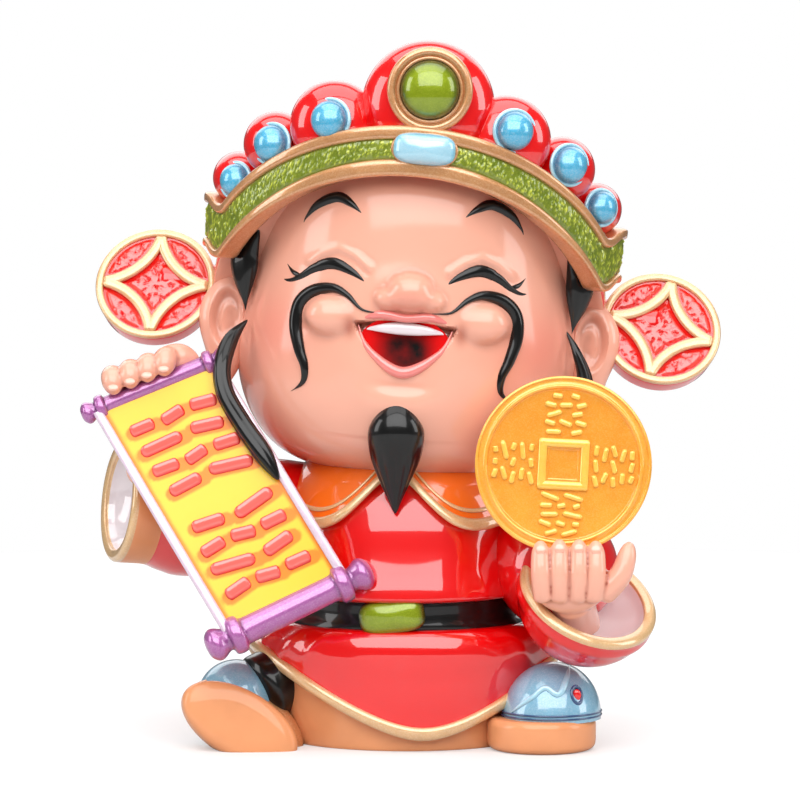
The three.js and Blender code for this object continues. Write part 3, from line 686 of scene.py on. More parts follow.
class Paints:
    """The figure's finishes, each made once and kept by name."""

    def __init__(self):
        self.shade_highlight_and_grain_paint = shade_highlight_and_grain_group()
        self.flake = flake_group()
        self.pooled = pooled_coat_group()
        self.made = {}

    def shader(self, name, roughness=0.35, metallic=0.0, coat=1.0, wave=1.0, index=None, gloss=None):
        """A material whose shader lies under the clear lacquer."""
        material = bpy.data.materials.new(name)
        material.use_nodes = True
        tree = material.node_tree
        shader = tree.nodes["Principled BSDF"]
        sizes = bpy.context.scene.figure_sizes
        shader.inputs["Roughness"].default_value = roughness
        shader.inputs["Metallic"].default_value = metallic
        shader.inputs["Specular IOR Level"].default_value = 0.25
        shader.inputs["Coat Weight"].default_value = coat
        shader.inputs["Coat IOR"].default_value = index or sizes.coat_index
        shader.inputs["Coat Roughness"].default_value = gloss or sizes.coat_roughness
        pooled = node(tree, "ShaderNodeGroup", node_tree=self.pooled)
        pooled.inputs["Wave"].default_value = sizes.coat_wave * wave
        bump = node(tree, "ShaderNodeBump")
        bump.inputs["Distance"].default_value = 1.0
        tree.links.new(pooled.outputs["Height"], bump.inputs["Height"])
        tree.links.new(bump.outputs["Normal"], shader.inputs["Normal"])
        self.made[name] = material
        return tree, shader

    def wash(self, tree, paint_name, shade_highlight_and_grain_name, strength=1.0, unevenness=0.1, scale=120.0):
        """The node of a paint and its second colour where marked, mostly painted shade, set from two of the
        figure's paints.
        """
        colours = bpy.context.scene.figure_paints
        group = node(tree, "ShaderNodeGroup", node_tree=self.shade_highlight_and_grain_paint)
        group.inputs["Paint"].default_value = (*getattr(colours, paint_name), 1)
        group.inputs["Wash"].default_value = (*getattr(colours, shade_highlight_and_grain_name), 1)
        group.inputs["Wash strength"].default_value = strength
        group.inputs["Unevenness"].default_value = unevenness
        group.inputs["Brush scale"].default_value = scale
        return group

    def flakes(self, tree, base, glint, amount=0.5, scale=4200.0):
        group = node(tree, "ShaderNodeGroup", node_tree=self.flake)
        tree.links.new(base, group.inputs["Base"])
        group.inputs["Glint"].default_value = glint
        group.inputs["Amount"].default_value = amount
        group.inputs["Flake scale"].default_value = scale
        return group


PAINTS = {}


# Metallic finishes: paint, second colour where marked (painted shade in the hollows, a painted highlight on
# the coin, dry-brushed grains on the olive), glint, amount of flakes, metal, strength of that second colour,
# index of the lacquer
METALS = {
    "Gold": ("gold", "bronze", (1.0, 0.76, 0.5), 0.25, 0.55, 1.2),
    "Cream gold": ("cream", "bronze", (1.0, 0.88, 0.62), 0.2, 0.35, 1.2),
    "Olive": ("olive", "lime", (0.7, 0.8, 0.1), 0.1, 0.2, 1.0, 1.6),
    "Leaf": ("leaf", "moss", (0.8, 0.85, 0.1), 0.1, 0.3, 1.0, 1.6),
    "Pearl blue": ("blue", "navy", (0.9, 0.98, 1.0), 0.15, 0.2, 0.6),
    "Ice blue": ("ice", "blue", (0.9, 0.98, 1.0), 0.15, 0.2, 0.6),
    "Pearl purple": ("purple", "plum", (1.0, 0.85, 1.0), 0.1, 0.5, 1.2),
    "Lavender": ("lavender", "plum", (1.0, 0.95, 1.0), 0.1, 0.1, 1.2),
    "Shoe blue": ("shoe", "navy", (0.9, 0.97, 1.0), 0.15, 0.1, 0.8),
    # The coin's second colour is lighter: a painted highlight on its raised parts
    "Coin": ("coin", "coin_highlight", (1.0, 0.8, 0.3), 0.15, 0.4, 1.0, 1.7),
}
# Opaque finishes: paint, second colour where marked (mostly painted shade in the creases), strength of that
# second colour, unevenness, roughness, weight and index of the lacquer
LACQUERS = {
    "Red lacquer": ("red", "deep_red", 1.0, 0.08, 0.3),
    "Orange": ("orange", "bronze"),
    "Tan": ("tan", "bronze", 1.0, 0.25, 0.45, 0.3),
    "Lips": ("lips", "deep_red"),
    "Teeth": ("lining", "lining", 1.0, 0.08, 0.3),
    "Black lacquer": ("black", "black", 1.0, 0.08, 0.3, 1.0, 1.35),
    "Lining": ("lining", "wash", 0.5, 0.08, 0.3),
    "Nails": ("skin", "lining", 0, 0.08, 0.3),
    "Stroke red": ("coral", "red"),
    "Navy": ("navy", "navy"),
}


def metal(name, paint_name, shade_highlight_and_grain_name, glint, amount, metallic, strength, index=None):
    """Metallic paint with flakes, darker in its hollows: a painted shade. The coin is lighter on its raised
    parts, a painted highlight, and the hat band lime on its raised grains.
    """
    tree, shader = PAINTS["all"].shader(name, metallic=metallic, index=index)
    wash = PAINTS["all"].wash(tree, paint_name, shade_highlight_and_grain_name, strength, 0.35, 260)
    flakes = PAINTS["all"].flakes(tree, wash.outputs["Color"], (*glint, 1), amount)
    tree.links.new(flakes.outputs["Color"], shader.inputs["Base Color"])
    tree.links.new(flakes.outputs["Roughness"], shader.inputs["Roughness"])


def lacquer(name, paint_name, shade_highlight_and_grain_name, strength=1.0, unevenness=0.08, roughness=0.35, coat=1.0, index=None):
    """Opaque gloss paint under the lacquer, darker where marked: mostly a painted shade in its creases."""
    tree, shader = PAINTS["all"].shader(name, roughness=roughness, coat=coat, index=index)
    wash = PAINTS["all"].wash(tree, paint_name, shade_highlight_and_grain_name, strength, unevenness)
    tree.links.new(wash.outputs["Color"], shader.inputs["Base Color"])


def skin(name):
    """Peach skin with airbrushed cheeks, darker where marked: a painted shade in its creases, under the chin
    and at the corners of the mouth.
    """
    tree, shader = PAINTS["all"].shader(name, roughness=0.45, index=1.5, gloss=0.12)
    wash = PAINTS["all"].wash(tree, "skin", "wash", 0.9, 0.04, 60)
    tree.links.new(
        mixed(tree, marked(tree, "blush"), wash.outputs["Color"], colour_of("blush")),
        shader.inputs["Base Color"]
    )


def mouth_red(name):
    """Red that darkens at the back of the mouth: a painted shade of its depth."""
    tree, shader = PAINTS["all"].shader(name, roughness=0.85, coat=0.0)
    wash = PAINTS["all"].wash(tree, "red", "black", 1.0, 0.05)
    tree.links.new(wash.outputs["Color"], shader.inputs["Base Color"])


def red_with_painted_sheen(name):
    """Red with pink flecks on its raised plateau: a painted reflection."""
    tree, shader = PAINTS["all"].shader(name, roughness=0.35)
    sheen_plateau = marked(tree, "wash")
    marks = reckoned(tree, "MULTIPLY", ramped(tree, speckle(tree, 900, 3), 0.4, 0.46), 0.35)
    colour = mixed(tree, reckoned(tree, "MULTIPLY", marks, sheen_plateau), colour_of("red"), colour_of("lips"))
    tree.links.new(colour, shader.inputs["Base Color"])


def scroll_yellow(name):
    """Yellow, turning amber where the sheet is marked: a painted shadow round the strokes, and airbrush along
    its edges.
    """
    tree, shader = PAINTS["all"].shader(name, roughness=0.5, index=1.35, gloss=0.2)
    wash = PAINTS["all"].wash(tree, "yellow", "amber", 0.5, 0.1, 40)
    shade = marked(tree, "shade")
    cloudy = reckoned(tree, "ADD", shade, reckoned(tree, "MULTIPLY", speckle(tree, 160, 3), 0.25))
    edge = ramped(tree, cloudy, 0.3, 0.95)
    tree.links.new(mixed(tree, edge, wash.outputs["Color"], colour_of("amber")), shader.inputs["Base Color"])


SPECIAL = {"Skin": skin, "Mouth": mouth_red, "Red with painted sheen": red_with_painted_sheen, "Scroll yellow": scroll_yellow}


def finish(name):
    """A finish by its name, made when a piece first asks for it."""
    if name not in PAINTS["all"].made:
        if name in METALS:
            metal(name, *METALS[name])
        elif name in LACQUERS:
            lacquer(name, *LACQUERS[name])
        else:
            SPECIAL[name](name)
    return PAINTS["all"].made[name]


# The head, in hundredths from its chin. It leans to the viewer's right.

CHIN_HEIGHT = 39
HEAD_HALF_WIDTH = 23.4
HEAD_HALF_DEPTH = 21
HEAD_MIDDLE = 24
HEAD_ABOVE = 24
HEAD_BELOW = 25.2
SQUARENESS = 3.6
HEAD_FRAME = (
    Matrix.Translation((0, 0, CHIN_HEIGHT))
    @ turn(4, "Y")
    @ turn(-2, "Z")
)
HAT_PIVOT = 45
HAT_FRAME = (
    HEAD_FRAME
    @ Matrix.Translation((0, 0, HAT_PIVOT))
    @ turn(1, "Y")
    @ Matrix.Translation((0, 0, -HAT_PIVOT))
)


def skull_share(z):
    off = clamp((z - HEAD_MIDDLE) / (HEAD_BELOW if z < HEAD_MIDDLE else HEAD_ABOVE), -1, 1)
    return (1 - abs(off) ** SQUARENESS) ** (1 / SQUARENESS)


def jowl(z):
    return 1 + 0.05 * swell(z - 14, 9) - 0.06 * eased(z, 18, 34)


def face_depth(x, z):
    across = x / (HEAD_HALF_WIDTH * jowl(z))
    return math.sqrt(max(0, skull_share(z) ** 2 - across**2)) * HEAD_HALF_DEPTH


def on_face(x, z, lift=0.0):
    """The point of the bare face at x and z, raised by lift."""
    return Vector((x, -face_depth(x, z) - lift, z))


def topped(height, other, blend):
    """The larger of two heights, run together over a blend."""
    share = clamp(0.5 + 0.5 * (other - height) / blend)
    return lerp(height, other, share) + blend * share * (1 - share)


# Bulges of the face: x, z, lift, half width, depth, half height, and how softly it runs into the skin.
BULGES = (
    (0.4, 26.0, 0.3, 3.2, 2.8, 2.7, 1.4),
    (-2.3, 24.9, 0.1, 2.2, 1.9, 1.5, 1.6), (3.1, 24.9, 0.1, 2.2, 1.9, 1.5, 1.6),
    (-10.1, 21.8, -0.7, 4.0, 2.6, 3.0, 0.8), (10.3, 22.1, -0.7, 4.0, 2.6, 3.0, 0.8),
)
UPPER_LIP = ((-6.9, 21.6), (-3.5, 22.6), (0, 22.3), (3.5, 22.6), (6.9, 21.6))
LOWER_LIP = ((-6.6, 21), (-4.9, 17.6), (0, 14.7), (4.9, 17.6), (6.6, 21))
BROW = ((7.1, 37.1), (8.8, 38.4), (10.7, 39.1), (13.3, 37.9), (15.0, 36.0), (15.4, 35.1))
EYE = ((5.7, 27.5), (7.7, 29), (10.1, 29.9), (12.4, 29), (14.2, 27.6), (15.8, 26.9), (17.4, 27.4))
EYELID = tuple((x, z + 1.5) for x, z in EYE[:5])
LASH = ((14, 27.7), (15.2, 28.1), (16.2, 29.3))
MOUSTACHE = (
    (3.5, 23.6), (6.2, 23.9), (8.4, 25.7), (10.5, 26.5), (13.1, 25.9), (14.9, 24),
    (15.4, 21), (14.7, 17.7), (13.8, 15.2), (13.9, 13), (15.6, 11.4),
)
LINE_DROP = {-1: 0.8, 1: 0.4}
# How much longer the eye of each side is outwards of its inner corner, and how far it is shifted
EYE_REACH = {-1: (1.12, 0.0), 1: (1.06, -0.6)}


def off_line(x, z, line):
    """How far a place of the face is from a line of places."""
    spot, nearest = Vector((x, z)), 1e9
    for start, end in zip(line, line[1:]):
        near, _ = geometry.intersect_point_line(spot, start, end)
        start, end = Vector(start), Vector(end)
        part = clamp((near - start).dot(end - start) / (end - start).length_squared)
        nearest = min(nearest, (start.lerp(end, part) - spot).length)
    return nearest


def in_mouth(x, z):
    """1 well inside the open mouth, 0 outside it."""
    top = 21.9 - 0.012 * x * x
    bottom = 15.2 + 0.115 * x * x
    return eased(min(top - z, z - bottom), -0.2, 0.7)


def face_relief(x, z):
    """How far the face stands out from the bare skull."""
    depth = face_depth(x, z)
    relief = 0.0
    if abs(x) > 19 or not 5 < z < 36:
        return relief
    if 4 < abs(x) < 17 and 26 < z < 34:
        relief += 0.35 * swell(off_line(abs(x), z, EYELID), 0.55)
        relief -= 0.2 * swell(off_line(abs(x), z + 0.8, EYELID), 0.4)
    relief += 0.45 * math.exp(-((x / 9) ** 2) - ((z - 8.7) / 3.6) ** 2)
    relief -= 0.3 * math.exp(-((x / 5) ** 2) - ((z - 12.9) / 1.1) ** 2)
    relief += 0.45 * swell(math.hypot(x, (z - 18.6) * 0.9) - 7.6, 2.6)
    for middle, height, lift, wide, deep, tall, softness in BULGES:
        off = 1 - ((x - middle) / wide) ** 2 - ((z - height) / tall) ** 2
        if off > -1.5:
            bulge = (
                face_depth(middle, height) + lift + deep * (math.sqrt(off) if off > 0 else 2 * off) - depth
            )
            relief = topped(relief, bulge, softness)
    return lerp(relief, -2.6, in_mouth(x, z))


def crowded(angle, share):
    """An angle round the head, with the corners crowded towards the front."""
    return angle - share * math.sin(angle)


def head_form():
    def place(corner):
        angle = crowded(math.atan2(corner.x, -corner.y), 0.6)
        height = math.asin(clamp(corner.z, -1, 1)) / (math.pi / 2)
        z = HEAD_MIDDLE + (HEAD_BELOW if height < 0 else HEAD_ABOVE) * (1.5 * height - 0.5 * height**3)
        pole = at_pole(corner)
        under_cap = eased(z, 34, 40) * eased(-math.cos(angle), -0.2, 0.3)
        share = 0 if pole else skull_share(z) * (1 - 0.05 * under_cap)
        x = math.sin(angle) * HEAD_HALF_WIDTH * jowl(z) * share
        y = -math.cos(angle) * HEAD_HALF_DEPTH * share
        facing = eased(math.cos(angle), 0.15, 0.4)
        return Vector((x, y - facing * face_relief(x, z) if facing else y, z))

    form = moved(globe(240, 192), place)
    # Marks the hollows of the face, where the skin is darkened: a painted shade
    creased(form, reach=3, strength=1.2)
    mark = form.verts.layers.float["wash"]
    blush = form.verts.layers.float.new("blush")
    for corner in form.verts:
        x, _, z = corner.co
        corner[blush] = 0.4 * math.exp(-(((abs(x) - 19) / 5) ** 2) - ((z - 19) / 5.5) ** 2)
        corner[blush] += 0.25 * math.exp(-((x / 3.4) ** 2) - ((z - 25) / 2) ** 2)
        # Painted shade: the skin is also marked darker under the chin and at the corners of the mouth
        shade_under_chin = 0.75 * eased(-z, -5, 2)
        shade_at_mouth_corners = 0.8 * math.exp(-(((abs(x) - 7.8) / 0.9) ** 2) - ((z - 20.6) / 1.4) ** 2)
        corner[mark] = clamp(corner[mark] + shade_under_chin + shade_at_mouth_corners)
    return form


def ear_form(side):
    spine = [(side * 24.6, -1.5, 26.6), (side * 26.5, -2.5, 21), (side * 26, -3, 14), (side * 27.2, -4, 8.6)]
    form = strand(spine, [2.6, 3.7, 2.9, 2.2], 64, 72, flat=0.62, ends=(0.5, 0.5))
    for corner in form.verts:
        x, y, z = corner.co
        if y < -2.6:
            off = ((x - side * 26.1) / 2.2) ** 2 + ((z - 19.8) / 4.1) ** 2
            hollow = eased(1.25 - off, 0, 1)
            ridge = swell(math.hypot((x - side * 25.7) / 1.1, (z - 19.2) / 2.5) - 1, 0.35)
            lobe = eased(1 - ((x - side * 26.7) / 1.3) ** 2 - ((z - 11) / 2.6) ** 2, 0, 1)
            corner.co.y += 1.7 * hollow - 0.4 * ridge * hollow + 0.35 * lobe
    return form


def face_line(side, places, half, lift, steps=72, sides=16, reach=(1, 0), **settings):
    """A painted line that stands out of the skin. The eye and the moustache sit lower on its right side."""
    drop, inner, (stretch, shift) = LINE_DROP[side], EYE[0][0], reach
    places = [(side * (inner + (x - inner) * stretch + shift), z - drop) for x, z in places]
    return strand(
        [on_face(x, z, lift + face_relief(x, z)) for x, z in places], half, sides, steps, **settings
    )


class FIGURE_OT_head(bpy.types.Operator):
    """Makes the laughing head: skin, ears, mouth, brows, eyes, moustache and goatee"""

    bl_idname = "figure.head"
    bl_label = "Head"

    def execute(self, context):
        finished("head", head_form(), "Skin", place=HEAD_FRAME)
        for side in SIDES:
            finished(f"ear_{side_name(side)}", ear_form(side), "Skin", place=HEAD_FRAME, crease=1.5)
        upper = strand([on_face(x, z, 0.1) for x, z in UPPER_LIP], [0.4, 0.7, 0.6, 0.7, 0.4], 20, 64)
        lower = strand([on_face(x, z, 0.0) for x, z in LOWER_LIP], [0.3, 0.6, 0.85, 0.6, 0.3], 20, 64)
        finished("lips", joined([upper, lower]), "Lips", place=HEAD_FRAME)
        finished("mouth", self.mouth(), "Mouth", place=HEAD_FRAME)
        row = [on_face(x, 20.8 - 0.012 * x * x, -0.6) for x in (-5.9, -3, 0, 3, 5.9)]
        teeth = strand(row, [0.35, 0.75, 0.9, 0.75, 0.35], 16, 48, flat=0.6)
        finished("teeth", teeth, "Teeth", place=HEAD_FRAME)
        for side in SIDES:
            lines = [
                face_line(side, BROW, [0.35, 0.75, 0.85, 0.75, 0.35], -0.05, flat=0.6, ends=(0.6, 0.6)),
                face_line(
                    side, EYE, [0.45, 0.8, 0.95, 0.85, 0.7, 0.45, 0.15], -0.1, reach=EYE_REACH[side],
                    flat=0.55, ends=(0.6, 0.9),
                ),
                face_line(
                    side, LASH, [0.4, 0.35, 0.15], -0.05, 24, reach=EYE_REACH[side], flat=0.7, ends=(0.6, 0.9)
                ),
                face_line(
                    side, MOUSTACHE,
                    [0.25, 0.4, 0.65, 0.95, 1.15, 1.3, 1.3, 1.25, 1.1, 0.85, 0.15], 0.1, 140, 24,
                    flat=0.75, ends=(0.9, 0.9), groove=hair_groove(3, 0.06),
                ),
            ]
            finished(f"face_lines_{side_name(side)}", joined(lines), "Black lacquer", place=HEAD_FRAME)
        spine = [on_face(-0.3, 10.9, -0.8), on_face(-0.3, 7.3, 0.4)]
        spine += [(-0.2, -18.6, 3), (0, -17.4, -1.5), (0.3, -16.8, -5.4)]
        goatee = strand(
            spine, [2.6, 3.9, 3.6, 2.0, 0.3], 72, 96,
            flat=0.75, ends=(0.3, 0.06), groove=hair_groove(13, 0.07, 0.3)
        )
        finished("goatee", goatee, "Black lacquer", place=HEAD_FRAME)
        return {"FINISHED"}

    def mouth(self):
        """The red hollow behind the lips, deepest at the back of the tongue."""

        def place(corner):
            x, z = 6.4 * corner.x, 18.6 + 3.9 * corner.z
            depth = face_depth(x, z) - 1.5 * (1 - corner.x**2 - corner.z**2) - 0.4
            return Vector((x, -depth + (0.3 if corner.y > 0 else 0), z))

        form = moved(globe(64, 48), place)
        # The middle of the mouth is marked to turn black: a painted shade of its depth
        return painted(form, lambda at: eased(4.6 - math.hypot(at.x * 0.8, at.z - 17.6), 0, 3.4))


def side_name(side):
    """The figure's own side: its right is on the viewer's left."""
    return "right" if side < 0 else "left"


def hair_groove(count, depth, start=0.0):
    """Hair strands as grooves along a bead, from a share of its length on."""
    def groove(angle, t):
        return depth * (0.5 - 0.5 * math.cos(count * angle + 3 * t)) ** 2 * eased(t, start, start + 0.3)

    return groove


# Hair


class FIGURE_OT_hair(bpy.types.Operator):
    """Makes the side whiskers, the hair at the nape and the two strands behind the ears"""

    bl_idname = "figure.hair"
    bl_label = "Hair"

    def execute(self, context):
        for side in SIDES:
            spine = [(side * 22.2, -8.6, 33), (side * 23.9, -6.8, 28.6), (side * 23.2, -7.2, 21)]
            whisker = strand(
                spine, [1.6, 2.4, 0.2], 48, 64, flat=0.5, out=Vector((side * 0.6, -0.8, 0)), ends=(0.3, 0.3),
                groove=hair_groove(5, 0.08),
            )
            finished(f"whisker_{side_name(side)}", whisker, "Black lacquer", place=HEAD_FRAME)
        finished("nape_hair", self.nape(), "Black lacquer", place=HEAD_FRAME)
        right = [
            (-21.6, -8, 60.4), (-24, -9.6, 57.6),
            (-25.1, -12, 54), (-24.6, -13.4, 50.4), (-22.2, -14.6, 46.2),
            (-19.2, -16, 42), (-17, -16.8, 38.4),
        ]
        left = [(23.4, -7.6, 59), (24.9, -8.6, 56), (26.2, -9, 51.5), (25.4, -9.6, 46), (22.4, -10, 41)]
        for side, path, half in (
            (-1, right, [0.5, 1.2, 1.3, 1.35, 1.4, 1.4, 0.9]),
            (1, left, [0.2, 0.8, 1.3, 1.2, 0.6]),
        ):
            lock = strand(path, half, 40, 120, flat=0.7, ends=(0.15, 0.15), groove=hair_groove(5, 0.16))
            finished(f"lock_{side_name(side)}", lock, "Black lacquer")
        return {"FINISHED"}

    def nape(self):
        """The gathered hair under the hat behind, combed downwards."""

        def place(corner):
            angle = math.atan2(corner.x, corner.y)
            comb = 1 - 0.012 * (0.5 - 0.5 * math.cos(64 * angle)) * math.hypot(corner.x, corner.y)
            return Vector((22.6 * corner.x * comb, 5 + 17.6 * corner.y * comb, 16 + 14 * corner.z))

        return moved(globe(256, 48), place)


# The hat: a round cap, a band over the forehead, and a crest of lobes with set stones

HAT_EDGE = (
    (0, 45.5), (15, 44.7), (30, 42.3), (45, 38.6), (60, 33.7),
    (75, 28), (90, 23), (120, 16.5), (150, 13), (180, 12),
)
HAT_HALF_WIDTH = 28.2
HAT_FRONT = 22
HAT_BACK = 24
HAT_TOP = 53
BAND_END = 84
BAND_THICKNESS = 2.6
BAND_EDGE = 0.6
BAND_TURN_UP = 64
# Shares of the band's height between which its panel lies, in front and at the band's ends
FOOT_STRIP, FOOT_STRIP_END = 0.34, 0.14
TOP_STRIP, TOP_STRIP_END = 0.72, 0.82
LOBES = (
    # x, z, radius, stone x, stone z, stone radius
    (12, 48, 6.3, 13, 49.9, 2.9),
    (20.2, 44.6, 4.6, 21, 45.8, 2.8),
    (25.4, 39.3, 3.7, 26, 40.1, 2.5),
)


LOBE_RISE = 4.4
PEARL_SHIFT = {-1: (0.4, 1.1), 1: (0.1, 0.4)}  # sideways and down, on each side of the crest
STONE_OUT = 3.2
CAP_INSET = -0.06
PANEL_OVERLAP = 0.05
SKULL_CLEARANCE = 0.012


def over_skull(place):
    """The place, or the one out from it that is clear of the skull's shoulders."""
    share = math.hypot(place.x / (HEAD_HALF_WIDTH * jowl(place.z)), place.y / HEAD_HALF_DEPTH)
    reach = topped(share, skull_share(place.z) + SKULL_CLEARANCE, 0.03) / share
    return Vector((place.x * reach, place.y * reach, place.z))


def hat_ring(angle, out=0.0):
    depth = HAT_FRONT if math.cos(angle) > 0 else HAT_BACK
    height = looked(HAT_EDGE, abs(math.degrees(math.remainder(angle, 2 * math.pi))))
    return Vector((math.sin(angle) * (HAT_HALF_WIDTH + out), -math.cos(angle) * (depth + out), height))


def on_band(degrees, share, out):
    """A point of the band: degrees from the front, share up from its foot, and out from the hat."""
    turn_up = eased(abs(degrees), BAND_TURN_UP, BAND_END)
    drop = 1 - math.cos(math.radians(degrees))
    place = hat_ring(math.radians(degrees), out + 0.6 * turn_up * (0.4 + 0.6 * share))
    place.z = lerp(42 - 24 * drop + 8 * turn_up, 49.1 - 23 * drop + 7.6 * turn_up, share)
    return place


def panel_edges(degrees):
    """The shares of the band's height between which its panel lies."""
    outward = eased(abs(degrees), 5, 80)
    return lerp(FOOT_STRIP, FOOT_STRIP_END, outward), lerp(TOP_STRIP, TOP_STRIP_END, outward)


def band_strip(limits, out, thick, sides=32, steps=240, grain=None):
    """A strip of the band with rounded edges. limits gives the shares of its height it lies between."""
    form = globe(sides, steps)
    mark = form.verts.layers.float.new("wash") if grain else None
    for corner in form.verts:
        share = share_down(corner.co)
        degrees = lerp(-BAND_END, BAND_END, share)
        close = min(1.0, 40 * share * (1 - share))
        fullness = 0 if at_pole(corner.co) else math.sqrt(1 - (1 - close) ** 4)
        x, y = boxed(math.atan2(corner.co.y, corner.co.x), 5)
        low, high = limits(degrees)
        across = (low + high) / 2 + y * (high - low) / 2 * fullness
        raised = grain(degrees, across) if grain and x > 0.7 else 0
        if grain:
            corner[mark] = eased(raised, 0.1, 0.26)
        corner.co = on_band(degrees, across, out + x * thick / 2 * fullness + raised)
    return form


def grains(degrees, share):
    """Small grains, drawn out like short worms, that cover the band's panel between its borders."""
    spot = Vector((degrees * 1.25, share * 15 + 0.9 * math.sin(degrees * 0.9), 0))
    low, high = panel_edges(degrees)
    inside = min(share - low, high - share)
    return 0.6 * clamp(0.6 - noise.voronoi(spot)[0][0]) * eased(inside, 0.03, 0.05)


def stone(centre, radius, rise, facing=FORWARD, squash=1.0):
    """A pearl or boss, its edge marked to be darker: a painted shade."""
    form = ball((0, 0, 0), (radius * squash, radius, rise), sides=56, rings=32)
    painted(form, lambda at: eased(math.hypot(at.x / squash, at.y) / radius, 0.72, 1.0))
    return placed(form, facing_at(centre, facing))


def crest_depth(x):
    return -math.sqrt(1 - min(0.99, abs(x) / HAT_HALF_WIDTH) ** 2) * HAT_FRONT + 3.5


class FIGURE_OT_hat(bpy.types.Operator):
    """Makes the hat: cap, band, crest and set stones"""

    bl_idname = "figure.hat"
    bl_label = "Hat"

    def execute(self, context):
        def on_hat(name, form, *finishes, **settings):
            finished(name, form, *finishes, place=HAT_FRAME, **settings)

        def widened(degrees):
            low, high = panel_edges(degrees)
            return low - PANEL_OVERLAP, high + PANEL_OVERLAP

        def edge(limits):
            return band_strip(limits, 0.3, BAND_THICKNESS + BAND_EDGE, 28, 200)

        on_hat("hat_cap", self.cap(), "Red lacquer", "Skin")
        on_hat("hat_band_panel", band_strip(widened, 0.1, BAND_THICKNESS, 48, 520, grains), "Olive")
        foot = edge(lambda degrees: (0, panel_edges(degrees)[0]))
        top = edge(lambda degrees: (panel_edges(degrees)[1], 1))
        on_hat("hat_band_edges", joined([foot, top]), "Gold", crease=1.0)
        on_hat("hat_crest", self.crest(), "Red lacquer", crease=0.8)
        pearls = []
        rings = []
        for side in SIDES:
            for x, z, radius, stone_x, stone_z, size in LOBES:
                shift, drop = PEARL_SHIFT[side]
                centre = Vector((side * stone_x + shift, crest_depth(x) - STONE_OUT - 0.5, stone_z - drop))
                facing = Vector((side * stone_x / HAT_HALF_WIDTH * 0.7, -1, 0.1)).normalized()
                pearls.append(stone(centre, size * 0.95, size * 0.85, facing, 0.97))
                rings.append(ring_round(centre, size, 0.3, facing))
        on_hat("hat_pearls", joined(pearls), "Pearl blue")
        on_hat("hat_pearl_rings", joined(rings), "Ice blue", crease=1.5)
        on_hat("hat_gem", pillow((1, -24, 46), (4.3, 2.2), 1.9), "Ice blue")
        on_hat("hat_gem_setting", ring_round((1, -23.5, 45.9), 2.2, 0.4, FORWARD, 1.95), "Gold", crease=1.5)
        on_hat("hat_boss", stone((1, -22.9, 54.2), 4.1, 2.9), "Leaf")
        boss_rings = [
            ring_round((1, -22.8, 54.2), 5.3, 0.65, FORWARD),
            ring_round((1, -22.9, 54.2), 4.4, 0.3, FORWARD),
            turned((1, -21.9, 54.2), [(0, -1.2), (5.5, -1.2), (5.5, 0.5), (0, 0.5)]),
        ]
        on_hat("hat_boss_ring", joined(boss_rings), "Gold", crease=2.0)
        return {"FINISHED"}

    def cap(self):
        """The round cap, high over the forehead and low at the nape."""

        def ring(degrees):
            reach, rise = math.sin(math.radians(degrees)), math.cos(math.radians(degrees))

            def row(angle):
                rim = hat_ring(angle, CAP_INSET)
                return over_skull(Vector((rim.x * reach, rim.y * reach, lerp(rim.z, HAT_TOP, rise))))

            return row

        def under(reach, drop):
            def row(angle):
                rim = hat_ring(angle)
                return Vector((rim.x * reach, rim.y * reach, rim.z - drop))

            return row

        rows = [ring(degrees) for degrees in (3, 12, 21, 30, 39, 48, 57, 66, 75, 82, 89)]
        form = pile([*rows, under(0.985, 0.6), under(0.9, 0.5), under(0.6, 0)], 128, 90)
        bmesh.ops.recalc_face_normals(form, faces=form.faces)
        for face in form.faces:
            face.material_index = 1 if face.normal.z < -0.3 else 0
        return form

    def crest(self):
        """Lobes that stand up behind the band and run into each other."""
        lobes = [ball((0.8, -17.3, 51.7), (9.3, 5.6, 9.3), sides=96, rings=64)]
        for side in SIDES:
            for x, z, radius, *_ in LOBES:
                lobes.append(ball((side * x, crest_depth(x), z), (radius, LOBE_RISE, radius)))
        return joined(lobes)


def ring_round(centre, radius, half, facing, squash=1.0):
    """A round bead bent into a ring."""
    turn = UP.rotation_difference(facing).to_matrix()
    centre = Vector(centre)

    def place(angle, section):
        out = radius + half * math.cos(section)
        stretch = radius * (squash - 1)
        x = math.cos(angle) * out + stretch * math.copysign(abs(math.cos(angle)) ** 0.6, math.cos(angle))
        return centre + turn @ Vector((x, math.sin(angle) * out, half * math.sin(section)))

    return loop(16, 96, place)


# The wings of the hat: coins with a four-petalled lattice

WING_RADIUS = 8.7
WING_THICKNESS = 3.4
WING_RIM = 1.1
WING_STRAP = 1.5
WING_RECESS = 0.7
WING_TUCK = 0.5
WING_HEIGHT = 23.05
WING_LEAN = 29
WING_TURN = 6
RIGHT_WING_SPIN = -8  # the wing on the viewer's right is turned about its own axis
HAT_OFF_CENTRE = -0.1
WING_INNER = WING_RADIUS - WING_RIM
STRAP_CENTRE = 1.25 * WING_INNER
STRAP_RADIUS = math.hypot(STRAP_CENTRE, STRAP_CENTRE - WING_INNER)


def wing_frame(side):
    return (
        HAT_FRAME
        @ Matrix.Translation(
            (side * (HAT_HALF_WIDTH - WING_TUCK + WING_RADIUS) + HAT_OFF_CENTRE, 0, WING_HEIGHT)
        )
        @ turn(90 - WING_LEAN, "X")
        @ turn(side * WING_TURN, "Y")
        @ turn(RIGHT_WING_SPIN if side > 0 else 0, "Z")
    )


def from_lattice(x, y):
    """How far a place of the wing's face is from the straps and the rim round it."""
    to_strap = abs(math.hypot(abs(x) - STRAP_CENTRE, abs(y) - STRAP_CENTRE) - STRAP_RADIUS) - WING_STRAP / 2
    return min(to_strap, WING_INNER - math.hypot(x, y))


